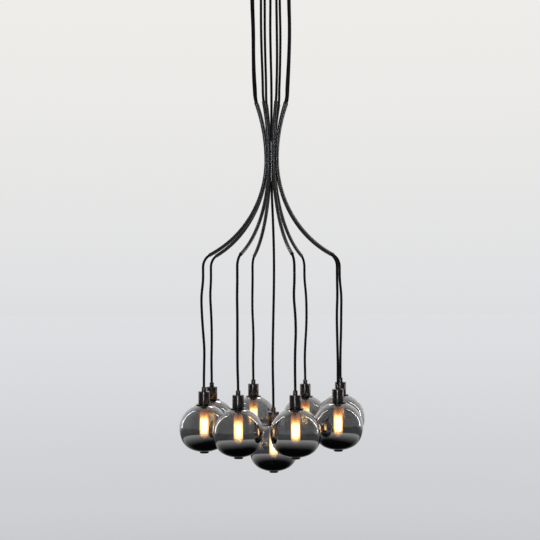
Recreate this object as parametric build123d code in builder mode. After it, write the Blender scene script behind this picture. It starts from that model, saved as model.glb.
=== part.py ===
from build123d import *
import math
import os

os.makedirs("parts", exist_ok=True)

# Cluster pendant. Eight glass globes hang in a ring from eight bent tubes that are bundled round
# a short hub, and a ninth hangs lower from the middle of the hub. Millimetres, +Z up, and the
# origin is the centre of the canopy's rim, on the ceiling. The front of the object faces -Y.

# ---- driving dimensions: ceiling end ----
CANOPY_RADIUS = 100.0
CANOPY_HEIGHT = 45.0
CANOPY_WALL = 1.8
CANOPY_EDGE_RADIUS = 9.0
CORD_CIRCLE_RADIUS = 71.0
CROSSBAR_LENGTH = 160.0
CROSSBAR_WIDTH = 24.0
CROSSBAR_THICKNESS = 3.0
BOX_SLOT_SPACING = 88.9
BOX_SLOT_LENGTH = 14.0
BOX_SLOT_WIDTH = 4.8
CANOPY_SCREW_SPACING = 136.0
CANOPY_SCREW_RADIUS = 2.0
SCREW_HOLE_CLEARANCE = 0.3
THREAD_CLEARANCE = 0.05
THUMB_HEAD_RADIUS = 6.0
THUMB_HEAD_HEIGHT = 8.0
THUMB_HEAD_FLUTES = 16
FLUTE_RADIUS = 0.6
TERMINAL_LENGTH = 56.0
TERMINAL_WIDTH = 18.0
TERMINAL_HEIGHT = 13.0
TERMINAL_WAY_PITCH = 5.8
TERMINAL_WAY_RADIUS = 1.6
TERMINAL_SCREW_RADIUS = 1.7
TERMINAL_SCREW_DEPTH = 5.0

# ---- driving dimensions: cords and what holds them ----
CORD_RADIUS = 4.5
CORD_BORE_CLEARANCE = 0.25
GRIP_COLLAR_RADIUS = 9.0
GRIP_COLLAR_HEIGHT = 5.0
GRIP_NOSE_RADIUS = 8.0
GRIP_NOSE_TIP_RADIUS = 6.0
GRIP_NOSE_HEIGHT = 12.0
GRIP_THREAD_RADIUS = 6.0
GRIP_THREAD_HEIGHT = 9.0
GRIP_HOLE_CLEARANCE = 0.1
GRIP_EDGE = 0.8
LOCKNUT_FLATS = 17.0
LOCKNUT_HEIGHT = 3.5

# ---- driving dimensions: hub and arms ----
ARM_COUNT = 8
FIRST_ARM_ANGLE = 22.5
WAIST_HEIGHT = -670.0
HUB_RADIUS = 15.2
HUB_WALL = 1.9
HUB_TOP = 64.0
HUB_BOTTOM = 80.0
HUB_END_THICKNESS = 5.0
HUB_EDGE = 0.8
HUB_CORD_CLEARANCE = 0.45
SADDLE_DEPTH = 0.85
SADDLE_CLEARANCE = 0.05
ARM_WALL = 1.1
ARM_CORD_CLEARANCE = 0.75
UPPER_BEND_RADIUS = 570.0
UPPER_BEND_ANGLE = 19.2
LOWER_BEND_ANGLE = 61.3
ARM_END_LENGTH = 10.0
CORD_OVERHANG = 27.0
BUSH_COLLAR_LENGTH = 5.0
BUSH_COLLAR_EDGE = 1.0
BUSH_SPIGOT_LENGTH = 7.0
BUSH_SPIGOT_CLEARANCE = 0.1

# ---- driving dimensions: pendant, heights counted from the top of its glass ----
GLOBE_RADIUS = 87.0
GLASS_WALL = 2.5
MOUTH_CLEARANCE = 1.0
MOUTH_THICKNESS = 3.0
MOUTH_CUT = 3.6
CROWN_FLATTENING = 3.4
DOME_SIDE_TIGHTENING = 9.0
FLANK_EASING = 17.0
BASE_EASING = 26.0
BASE_BEND_ANGLE = 25.0
FLANK_BEND_ANGLE = 25.0
BUTTON_RADIUS = 15.5
BUTTON_HEIGHT = 4.5
BUTTON_EDGE = 1.5
GALLERY_LEDGE = 8.5
GALLERY_THICKNESS = 2.6
GALLERY_EDGE = 0.8
CUP_GAP = 2.4
CUP_HEIGHT = 45.0
CUP_WALL = 1.6
CUP_EDGE = 1.2
CAP_RADIUS = 8.2
CAP_HEIGHT = 15.4
CAP_EDGE = 0.8
CAP_GROOVE_DEPTH = 0.5
CAP_GROOVE_WIDTH = 1.2
CAP_SPIGOT_RADIUS = 6.5
CAP_SPIGOT_CLEARANCE = 0.1
SLEEVE_WALL = 2.7
SLEEVE_CLEARANCE = 0.1
SLEEVE_TOP = 34.0
SLEEVE_SKIRT = 10.0
SLEEVE_TIP = 14.0
SLEEVE_TIP_WALL = 1.1
RING_NUT_LAP = 3.0
RING_NUT_THICKNESS = 3.0
RING_NUT_NOTCHES = 12
BULB_BASE_RADIUS = 13.0
BULB_BASE_TOP = 13.0
BULB_BASE_BOTTOM = 12.5
BULB_BASE_CLEARANCE = 0.3
CONTACT_RADIUS = 5.0
CONTACT_HEIGHT = 2.5
BULB_RADIUS = 16.0
BULB_NECK_INSET = 0.6
BULB_NECK_BOTTOM = 17.0
BULB_SHOULDER_BOTTOM = 30.0
BULB_TIP = 109.0
BULB_TIP_EDGE = 9.0
BULB_GLASS = 0.9
STEM_RADIUS = 1.3
STEM_FLARE_RADIUS = 5.0
STEM_FLARE_LENGTH = 14.0
FILAMENT_TOP = 36.0
FILAMENT_BOTTOM = 92.0
FILAMENT_CIRCLE_RADIUS = 8.0
FILAMENT_RADIUS = 1.2
FILAMENT_COUNT = 8
SPIDER_THICKNESS = 1.2

# ---- how the pendants hang ----
RING_RADIUS = 254.0
RING_PIVOT_DROP = 56.86
CENTRE_PIVOT_DROP = 16.0
RING_HANG = 406.5
CENTRE_HANG = 786.0
CORD_IN_CUP = 19.0
PIVOT_GAP = 0.3
# how much higher than the others each ring pendant hangs
RISE = (18.0, 0.0, 0.0, 0.0, 0.0, 0.0, 0.0, 9.0)

# ---- cord routes, chosen by hand ----
# One feed cord in the plane of its arm: (distance from the axis, height).
FEED_FREE = [(71.0, -28.0), (71.0, -110.0), (68.6, -205.0), (67.3, -295.0), (65.3, -370.0), (63.0, -418.0)]
FEED_IN_ARM = [
    (61.6, -456.1),
    (47.5, -496.6),
    (34.7, -540.6),
    (20.7, -620.1),
    (20.7, -709.9),
    (37.3, -788.1),
    (69.8, -861.0),
    (112.8, -920.3),
    (155.8, -961.8),
    (190.8, -987.2),
    (211.5, -999.7),
    (235.9, -1013.0),
    (247.7, -1026.6),
    (254.0, -1043.5),
]
# What each feed cord wanders sideways, along X, at its third to sixth free point.
FEED_SWAY = (
    (4.0, 2.6, 1.2, 0.6),
    (3.0, 2.2, 0.9, -0.5),
    (-1.4, -0.6, 0.8, 0.3),
    (0.8, -1.2, -0.7, 0.5),
    (1.6, 0.6, -1.0, -0.8),
    (-1.8, -1.0, 0.6, 0.4),
    (1.5, 2.4, 1.8, 0.7),
    (5.0, 3.4, 0.6, -0.9),
)
# The ninth feed cord, down the axis: (X, height).
CENTRE_FEED = [
    (0.0, -28.0),
    (0.0, -105.0),
    (-1.8, -205.0),
    (-0.6, -300.0),
    (1.2, -390.0),
    (1.0, -475.0),
    (0.0, -560.0),
    (0.3, -640.0),
    (0.0, -710.0),
]
# One drop cord below its pivot: heights, and how far each wanders along X on the way.
DROP_HEIGHTS = (-1100.0, -1155.0, -1215.0, -1275.0, -1335.0, -1395.0, -1446.0)
DROP_SWAY = (
    (0.0, 5.9, 4.7, 3.9, 1.7, 0.5, 0.0),
    (0.0, 5.6, 7.0, 5.8, 1.4, -1.3, 0.0),
    (0.0, -1.4, -1.8, 1.0, 1.7, -0.6, 0.0),
    (0.0, -3.8, -0.4, 1.4, 1.1, -0.6, 0.0),
    (0.0, -7.3, -5.5, -1.8, 2.8, 1.5, 0.0),
    (0.0, -1.4, -0.7, -1.0, -1.5, -1.6, 0.0),
    (0.0, -3.2, 2.2, 3.6, 0.6, -0.5, 0.0),
    (0.0, 0.8, -2.0, -1.4, -0.4, 0.5, 0.0),
)
RAISED_POINTS = 2
CENTRE_DROP = [
    (0.0, -800.0),
    (2.4, -860.0),
    (4.6, -930.0),
    (6.0, -1010.0),
    (5.6, -1095.0),
    (3.6, -1180.0),
    (1.2, -1265.0),
    (-0.9, -1350.0),
    (-1.2, -1430.0),
    (0.0, -1495.0),
]

# ---- worked out from the above ----
CORD_BORE = CORD_RADIUS + CORD_BORE_CLEARANCE
ARM_BORE = CORD_RADIUS + ARM_CORD_CLEARANCE
ARM_RADIUS = ARM_BORE + ARM_WALL
WAIST_RADIUS = HUB_RADIUS + ARM_RADIUS - SADDLE_DEPTH
ARM_ANGLES = [FIRST_ARM_ANGLE + 360.0 / ARM_COUNT * i for i in range(ARM_COUNT)]
ARM_REACH = RING_RADIUS - CORD_OVERHANG - WAIST_RADIUS
LOWER_TURN = math.radians(LOWER_BEND_ANGLE)
LOWER_BEND_RADIUS = (ARM_REACH - ARM_END_LENGTH * math.sin(LOWER_TURN)) / (1 - math.cos(LOWER_TURN))
ARM_FALL = LOWER_BEND_RADIUS * math.sin(LOWER_TURN) + ARM_END_LENGTH * math.cos(LOWER_TURN)
RING_PIVOT_HEIGHT = WAIST_HEIGHT - ARM_FALL - RING_PIVOT_DROP
RING_CAP_HEIGHT = RING_PIVOT_HEIGHT - RING_HANG
CENTRE_PIVOT_HEIGHT = WAIST_HEIGHT - HUB_BOTTOM - CENTRE_PIVOT_DROP
CENTRE_CAP_HEIGHT = CENTRE_PIVOT_HEIGHT - CENTRE_HANG
GLASS_DROP = CAP_HEIGHT + CUP_HEIGHT + GALLERY_THICKNESS
SLEEVE_BORE = BULB_BASE_RADIUS + BULB_BASE_CLEARANCE
SLEEVE_RADIUS = SLEEVE_BORE + SLEEVE_WALL
MOUTH_RADIUS = SLEEVE_RADIUS + MOUTH_CLEARANCE
CUP_RADIUS = SLEEVE_RADIUS + CUP_GAP + CUP_WALL
GALLERY_RADIUS = CUP_RADIUS + GALLERY_LEDGE
RING_NUT_RADIUS = MOUTH_RADIUS + RING_NUT_LAP
BULB_NECK_RADIUS = BULB_BASE_RADIUS - BULB_NECK_INSET
DOME_HEIGHT = GLOBE_RADIUS - CROWN_FLATTENING
WIDEST_DEPTH = DOME_HEIGHT - MOUTH_CUT
DOME_SIDE_RADIUS = GLOBE_RADIUS - DOME_SIDE_TIGHTENING
FLANK_BEND_RADIUS = GLOBE_RADIUS + FLANK_EASING
BASE_BEND_RADIUS = GLOBE_RADIUS + BASE_EASING
CAP_HEIGHTS = [RING_CAP_HEIGHT + rise for rise in RISE] + [CENTRE_CAP_HEIGHT]
PIVOTS = [Vector(RING_RADIUS, 0, RING_PIVOT_HEIGHT).rotate(Axis.Z, angle) for angle in ARM_ANGLES]
PIVOTS.append(Vector(0, 0, CENTRE_PIVOT_HEIGHT))
NAMES = [str(i + 1) for i in range(ARM_COUNT)] + ["centre"]


def finish(part, name):
    """Name a finished sub-part and write it."""
    part.label = name
    export_step(part, f"parts/{name}.step")


def group(pieces):
    """Separate solids that share one node."""
    return Compound(children=pieces)


def upright_plane(origin):
    """The upright plane through a point: x runs along +X and y runs up."""
    return Plane(origin=origin, x_dir=(1, 0, 0), z_dir=(0, -1, 0))


def turned(outline, seat):
    """A turned piece: a closed outline of (radius, height, rounding) corners, spun round its seat's y."""
    with BuildPart() as piece:
        with BuildSketch(seat):
            with BuildLine():
                FilletPolyline(
                    *[(radius, height) for radius, height, rounding in outline],
                    radius=[rounding for radius, height, rounding in outline],
                    close=True,
                )
            make_face()
        revolve(axis=Axis(seat.origin, seat.y_dir))
    return piece.part


def radial_plane(angle, height=0.0):
    """The upright plane through the axis: its x runs outward at this angle and its y runs up."""
    turn = math.radians(angle)
    return Plane(
        origin=(0, 0, height),
        x_dir=(math.cos(turn), math.sin(turn), 0),
        z_dir=(math.sin(turn), -math.cos(turn), 0),
    )


# ---------------------------------------------------------------- ceiling end
def cord_places():
    """The eight cord places on their circle, and the ninth in the middle."""
    ring = [Vector(CORD_CIRCLE_RADIUS, 0, 0).rotate(Axis.Z, angle) for angle in ARM_ANGLES]
    return ring + [Vector(0, 0, 0)]


def make_canopy():
    """A spun dish, open to the ceiling, with cord holes and two screw holes in its flat bottom."""
    with BuildPart() as canopy:
        with BuildSketch(Plane.XY.offset(-CANOPY_HEIGHT)):
            Circle(CANOPY_RADIUS)
        extrude(amount=CANOPY_HEIGHT)
        fillet(canopy.edges().group_by(Axis.Z)[0], CANOPY_EDGE_RADIUS)
        offset(amount=-CANOPY_WALL, openings=canopy.faces().sort_by(Axis.Z)[-1])
        with BuildSketch(Plane.XY.offset(-CANOPY_HEIGHT)):
            with Locations(*cord_places()):
                Circle(GRIP_THREAD_RADIUS + GRIP_HOLE_CLEARANCE)
            with GridLocations(CANOPY_SCREW_SPACING, 1, 2, 1):
                Circle(CANOPY_SCREW_RADIUS + SCREW_HOLE_CLEARANCE)
        extrude(amount=CANOPY_WALL, mode=Mode.SUBTRACT)
    finish(canopy.part, "canopy")


def make_crossbar():
    """The strap that screws to the ceiling box through its slots and takes the canopy screws."""
    with BuildPart() as crossbar:
        with BuildSketch(Plane.XY.offset(-CROSSBAR_THICKNESS)):
            RectangleRounded(CROSSBAR_LENGTH, CROSSBAR_WIDTH, CROSSBAR_WIDTH / 4)
            with GridLocations(BOX_SLOT_SPACING, 1, 2, 1):
                SlotOverall(BOX_SLOT_LENGTH, BOX_SLOT_WIDTH, mode=Mode.SUBTRACT)
            with GridLocations(CANOPY_SCREW_SPACING, 1, 2, 1):
                Circle(CANOPY_SCREW_RADIUS + THREAD_CLEARANCE, mode=Mode.SUBTRACT)
        extrude(amount=CROSSBAR_THICKNESS)
    finish(crossbar.part, "crossbar")


def make_canopy_screws():
    """Two thumb screws with fluted heads, up through the canopy into the crossbar."""
    with BuildPart() as canopy_screws:
        with BuildSketch(Plane.XY.offset(-CANOPY_HEIGHT - THUMB_HEAD_HEIGHT)):
            with GridLocations(CANOPY_SCREW_SPACING, 1, 2, 1):
                Circle(THUMB_HEAD_RADIUS)
        extrude(amount=THUMB_HEAD_HEIGHT)
        fillet(canopy_screws.edges().group_by(Axis.Z)[0], THUMB_HEAD_RADIUS / 6)
        with BuildSketch(Plane.XY.offset(-CANOPY_HEIGHT - THUMB_HEAD_HEIGHT)):
            with GridLocations(CANOPY_SCREW_SPACING, 1, 2, 1):
                with PolarLocations(THUMB_HEAD_RADIUS, THUMB_HEAD_FLUTES):
                    Circle(FLUTE_RADIUS)
        extrude(amount=THUMB_HEAD_HEIGHT, mode=Mode.SUBTRACT)
        with BuildSketch(Plane.XY.offset(-CANOPY_HEIGHT)):
            with GridLocations(CANOPY_SCREW_SPACING, 1, 2, 1):
                Circle(CANOPY_SCREW_RADIUS)
        extrude(amount=CANOPY_HEIGHT - CROSSBAR_THICKNESS / 4)
    finish(canopy_screws.part, "canopy_screws")


def make_terminal_block():
    """A strip of wire ways, one for each cord, on the underside of the crossbar."""
    middle = -CROSSBAR_THICKNESS - TERMINAL_HEIGHT / 2
    with BuildPart() as terminal_block:
        with BuildSketch(Plane.XY.offset(-CROSSBAR_THICKNESS - TERMINAL_HEIGHT)):
            Rectangle(TERMINAL_LENGTH, TERMINAL_WIDTH)
        extrude(amount=TERMINAL_HEIGHT)
        fillet(terminal_block.edges().filter_by(Axis.Z), TERMINAL_HEIGHT / 8)
        with BuildSketch(Plane.XZ.offset(-TERMINAL_WIDTH / 2)):
            with Locations((0, middle)):
                with GridLocations(TERMINAL_WAY_PITCH, 1, ARM_COUNT + 1, 1):
                    Circle(TERMINAL_WAY_RADIUS)
        extrude(amount=TERMINAL_WIDTH, mode=Mode.SUBTRACT)
        with BuildSketch(Plane.XY.offset(-CROSSBAR_THICKNESS - TERMINAL_HEIGHT)):
            with GridLocations(TERMINAL_WAY_PITCH, TERMINAL_WIDTH / 2, ARM_COUNT + 1, 2):
                Circle(TERMINAL_SCREW_RADIUS)
        extrude(amount=TERMINAL_SCREW_DEPTH, mode=Mode.SUBTRACT)
    finish(terminal_block.part, "terminal_block")


def make_cord_grips():
    """A grip and its locknut at each cord place: collar and nose below the canopy, thread through it."""
    collar_bottom = -GRIP_COLLAR_HEIGHT
    nose_bottom = collar_bottom - GRIP_NOSE_HEIGHT
    outline = [
        (CORD_BORE, GRIP_THREAD_HEIGHT, 0),
        (GRIP_THREAD_RADIUS, GRIP_THREAD_HEIGHT, 0),
        (GRIP_THREAD_RADIUS, 0, 0),
        (GRIP_COLLAR_RADIUS, 0, 0),
        (GRIP_COLLAR_RADIUS, collar_bottom, GRIP_EDGE),
        (GRIP_NOSE_RADIUS, collar_bottom, 0),
        (GRIP_NOSE_TIP_RADIUS, nose_bottom, GRIP_EDGE / 2),
        (CORD_BORE, nose_bottom, 0),
    ]
    seats = [upright_plane(place - Vector(0, 0, CANOPY_HEIGHT)) for place in cord_places()]
    pieces = [turned(outline, seat) for seat in seats]
    with BuildPart() as locknuts:
        with BuildSketch(Plane.XY.offset(CANOPY_WALL - CANOPY_HEIGHT)):
            with Locations(*cord_places()):
                RegularPolygon(LOCKNUT_FLATS / 2, 6, major_radius=False)
                Circle(GRIP_THREAD_RADIUS + THREAD_CLEARANCE, mode=Mode.SUBTRACT)
        extrude(amount=LOCKNUT_HEIGHT)
    finish(group(pieces + locknuts.part.solids()), "cord_grips")


# ---------------------------------------------------------------- arms and hub
def arm_line():
    """The corners of an arm's middle line in its upright plane, with the waist at height 0."""
    top_turn = math.radians(UPPER_BEND_ANGLE)
    top_bend = (
        WAIST_RADIUS + UPPER_BEND_RADIUS * (1 - math.cos(top_turn)),
        UPPER_BEND_RADIUS * math.sin(top_turn),
    )
    low_bend = (
        WAIST_RADIUS + LOWER_BEND_RADIUS * (1 - math.cos(LOWER_TURN)),
        -LOWER_BEND_RADIUS * math.sin(LOWER_TURN),
    )
    top_out, top_up = ARM_END_LENGTH * math.sin(top_turn), ARM_END_LENGTH * math.cos(top_turn)
    low_out, low_down = ARM_END_LENGTH * math.sin(LOWER_TURN), ARM_END_LENGTH * math.cos(LOWER_TURN)
    top_end = (top_bend[0] + top_out, top_bend[1] + top_up)
    low_end = (low_bend[0] + low_out, low_bend[1] - low_down)
    return top_end, top_bend, low_bend, low_end


def arm_tube(angle, bore, radius):
    """One bent tube: a straight end, the long upper bend, the tighter lower bend, a straight end."""
    top_end, top_bend, low_bend, low_end = arm_line()
    with BuildPart() as arm:
        with BuildLine(radial_plane(angle, WAIST_HEIGHT)) as line:
            Line(top_end, top_bend)
            upper_centre = (WAIST_RADIUS + UPPER_BEND_RADIUS, 0)
            lower_centre = (WAIST_RADIUS + LOWER_BEND_RADIUS, 0)
            CenterArc(upper_centre, UPPER_BEND_RADIUS, 180 - UPPER_BEND_ANGLE, UPPER_BEND_ANGLE)
            CenterArc(lower_centre, LOWER_BEND_RADIUS, 180, LOWER_BEND_ANGLE)
            Line(low_bend, low_end)
        start = line.wires()[0] @ 0
        with BuildSketch(Plane(origin=start, z_dir=line.wires()[0] % 0)):
            Circle(radius)
            if bore:
                Circle(bore, mode=Mode.SUBTRACT)
        sweep(path=line.wires()[0])
    return arm.part


def end_seats():
    """A plane through each arm end's middle, with its y pointing out of the tube, top ends first."""
    top_end, top_bend, low_bend, low_end = arm_line()
    seats = []
    for end, inner in ((top_end, top_bend), (low_end, low_bend)):
        for angle in ARM_ANGLES:
            upright = radial_plane(angle, WAIST_HEIGHT)
            origin = upright.from_local_coords(end)
            out = (origin - upright.from_local_coords(inner)).normalized()
            seats.append(Plane(origin=origin, x_dir=out.cross(upright.z_dir), z_dir=upright.z_dir))
    return seats


def make_hub():
    """A short tube with bored ends and a shallow saddle for each arm, which is brazed into it."""
    bottom = WAIST_HEIGHT - HUB_BOTTOM
    length = HUB_BOTTOM + HUB_TOP
    with BuildPart() as hub_tube:
        with BuildSketch(Plane.XY.offset(bottom)):
            Circle(HUB_RADIUS)
        extrude(amount=length)
        chamfer(hub_tube.edges().filter_by(GeomType.CIRCLE), HUB_EDGE)
        with BuildSketch(Plane.XY.offset(bottom)):
            Circle(CORD_RADIUS + HUB_CORD_CLEARANCE)
        extrude(amount=length, mode=Mode.SUBTRACT)
        with BuildSketch(Plane.XY.offset(bottom + HUB_END_THICKNESS)):
            Circle(HUB_RADIUS - HUB_WALL)
        extrude(amount=length - 2 * HUB_END_THICKNESS, mode=Mode.SUBTRACT)
        for angle in ARM_ANGLES:
            add(arm_tube(angle, 0, ARM_RADIUS + SADDLE_CLEARANCE), mode=Mode.SUBTRACT)
    finish(hub_tube.part, "hub_tube")


def make_arms():
    """The eight arms, each a node of its own."""
    for name, angle in zip(NAMES, ARM_ANGLES):
        finish(arm_tube(angle, ARM_BORE, ARM_RADIUS), f"arm_{name}")


def make_arm_bushes():
    """A bush in every arm end: a collar on the tube's end and a spigot inside it."""
    spigot_radius = ARM_BORE - BUSH_SPIGOT_CLEARANCE
    outline = [
        (CORD_BORE, -BUSH_SPIGOT_LENGTH, 0),
        (spigot_radius, -BUSH_SPIGOT_LENGTH, 0),
        (spigot_radius, 0, 0),
        (ARM_RADIUS, 0, 0),
        (ARM_RADIUS, BUSH_COLLAR_LENGTH, BUSH_COLLAR_EDGE),
        (CORD_BORE, BUSH_COLLAR_LENGTH, 0),
    ]
    finish(group([turned(outline, seat) for seat in end_seats()]), "arm_bushes")


# ---------------------------------------------------------------- cords
def bend_radii(points):
    """The radius at each corner: 0.45 of its shorter run, over the tangent of half its turn."""
    radii = []
    for before, corner, after in zip(points, points[1:], points[2:]):
        turn = math.radians((corner - before).get_angle(after - corner))
        run = min((corner - before).length, (after - corner).length)
        radii.append(0.45 * run / math.tan(turn / 2))
    return radii


def make_cord(points, name, pivot=None):
    """A round cord along straight runs and tangent arcs, with a ball end where it starts at a pivot."""
    radii = bend_radii(points)
    with BuildPart() as cord:
        with BuildLine() as line:
            FilletPolyline(*points, radius=radii)
        wire = line.wires()[0]
        if pivot:
            with BuildSketch(upright_plane(pivot)):
                with BuildLine():
                    CenterArc((0, 0), CORD_RADIUS, 0, 90)
                    Line((0, CORD_RADIUS), (0, 0))
                    Line((0, 0), (CORD_RADIUS, 0))
                make_face()
            revolve(axis=Axis(pivot, (0, 0, 1)))
        with BuildSketch(Plane(origin=points[0], z_dir=points[1] - points[0])):
            Circle(CORD_RADIUS)
        sweep(path=wire)
    section = math.pi * CORD_RADIUS**2
    ball = 2 / 3 * math.pi * CORD_RADIUS**3 if pivot else 0.0
    share = cord.part.volume / (section * wire.length + ball)
    print(f"{name} length {wire.length:.1f} least radius {min(radii):.1f} volume share {share:.4f}")
    finish(cord.part, name)


def feed_points(index):
    """The feed cord's points of one arm: its plane's points turned to the arm, with the cord's sway."""
    sways = (0.0, 0.0) + FEED_SWAY[index] + (0.0,) * len(FEED_IN_ARM)
    places = FEED_FREE + FEED_IN_ARM + [(RING_RADIUS, RING_PIVOT_HEIGHT + CORD_RADIUS + PIVOT_GAP)]
    points = []
    for (out, height), sway in zip(places, sways + (0.0,)):
        points.append(Vector(out, 0, height).rotate(Axis.Z, ARM_ANGLES[index]) + Vector(sway, 0, 0))
    return points


def drop_points(index):
    """The drop cord's points of one ring pendant, from its pivot to inside its cup."""
    pivot = PIVOTS[index]
    points = [pivot]
    for i, (height, sway) in enumerate(zip(DROP_HEIGHTS, DROP_SWAY[index])):
        raised = RISE[index] if i >= len(DROP_HEIGHTS) - RAISED_POINTS else 0.0
        points.append(Vector(pivot.X + sway, pivot.Y, height + raised))
    points.append(Vector(pivot.X, pivot.Y, CAP_HEIGHTS[index] - CORD_IN_CUP))
    return points


def make_cords():
    """Every feed cord and every drop cord."""
    for i in range(ARM_COUNT):
        make_cord(feed_points(i), f"feed_cord_{NAMES[i]}")
        make_cord(drop_points(i), f"drop_cord_{NAMES[i]}", PIVOTS[i])
    feed = [Vector(x, 0, z) for x, z in CENTRE_FEED]
    feed.append(Vector(0, 0, CENTRE_PIVOT_HEIGHT + CORD_RADIUS + PIVOT_GAP))
    make_cord(feed, "feed_cord_centre")
    drop = [PIVOTS[-1]] + [Vector(x, 0, z) for x, z in CENTRE_DROP]
    drop.append(Vector(0, 0, CENTRE_CAP_HEIGHT - CORD_IN_CUP))
    make_cord(drop, "drop_cord_centre", PIVOTS[-1])


# ---------------------------------------------------------------- pendants
def globe_arcs(wall):
    """The globe's outline inset by a wall, as arcs of (centre, radius, start angle, arc angle), top to bottom.

    Crown and dome side above the widest circle, then flank, shoulder and base, each tangent to the
    next. The shoulder's radius is what makes the three lower bends reach the globe's radius.
    """
    side_offset = GLOBE_RADIUS - DOME_SIDE_RADIUS
    dome_excess = side_offset**2 + DOME_HEIGHT**2 - DOME_SIDE_RADIUS**2
    crown_radius = dome_excess / (2 * (DOME_HEIGHT - DOME_SIDE_RADIUS))
    crown_centre = (0, DOME_HEIGHT - crown_radius - WIDEST_DEPTH)
    side_centre = (side_offset, -WIDEST_DEPTH)
    side_angle = math.degrees(math.atan2(side_centre[1] - crown_centre[1], side_offset))
    base_turn = math.radians(BASE_BEND_ANGLE)
    flank_turn = math.radians(FLANK_BEND_ANGLE)
    flank_reach = FLANK_BEND_RADIUS * (1 - math.cos(flank_turn))
    base_reach = BASE_BEND_RADIUS * math.sin(base_turn)
    shoulder_radius = (GLOBE_RADIUS - flank_reach - base_reach) / (math.cos(flank_turn) - math.sin(base_turn))
    flank_centre = (GLOBE_RADIUS - FLANK_BEND_RADIUS, -WIDEST_DEPTH)
    flank_rest = FLANK_BEND_RADIUS - shoulder_radius
    shoulder_centre = (
        flank_centre[0] + flank_rest * math.cos(flank_turn),
        flank_centre[1] - flank_rest * math.sin(flank_turn),
    )
    base_centre = (0, shoulder_centre[1] + (BASE_BEND_RADIUS - shoulder_radius) * math.cos(base_turn))
    rim = crown_centre[1] + (MOUTH_THICKNESS if wall else 0)
    crown_angle = math.degrees(math.asin(-rim / (crown_radius - wall)))
    return [
        (crown_centre, crown_radius - wall, crown_angle, side_angle - crown_angle),
        (side_centre, DOME_SIDE_RADIUS - wall, side_angle, -side_angle),
        (flank_centre, FLANK_BEND_RADIUS - wall, 0, -FLANK_BEND_ANGLE),
        (shoulder_centre, shoulder_radius - wall, -FLANK_BEND_ANGLE, FLANK_BEND_ANGLE + BASE_BEND_ANGLE - 90),
        (base_centre, BASE_BEND_RADIUS - wall, BASE_BEND_ANGLE - 90, -BASE_BEND_ANGLE),
    ]


def make_globe(seat, name):
    """A blown globe: a flat ground mouth on top, a thin wall, and a button at the bottom."""
    with BuildPart() as globe:
        with BuildSketch(seat):
            with BuildLine() as outline:
                outer = [CenterArc(*arc) for arc in globe_arcs(0)]
                inner = [CenterArc(*arc) for arc in globe_arcs(GLASS_WALL)]
                Line(outer[-1] @ 1, inner[-1] @ 1)
                Line(inner[0] @ 0, (MOUTH_RADIUS, -MOUTH_THICKNESS))
                Line((MOUTH_RADIUS, -MOUTH_THICKNESS), (MOUTH_RADIUS, 0))
                Line((MOUTH_RADIUS, 0), outer[0] @ 0)
            make_face()
        revolve(axis=Axis(seat.origin, seat.y_dir))
        bottom = (outer[-1] @ 1).Y
        with BuildSketch(Plane(origin=seat.origin + Vector(0, 0, bottom - BUTTON_HEIGHT))):
            Circle(BUTTON_RADIUS)
        extrude(amount=BUTTON_HEIGHT + GLASS_WALL / 2)
        fillet(globe.edges().group_by(Axis.Z)[0], BUTTON_EDGE)
    finish(globe.part, f"globe_{name}")


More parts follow.
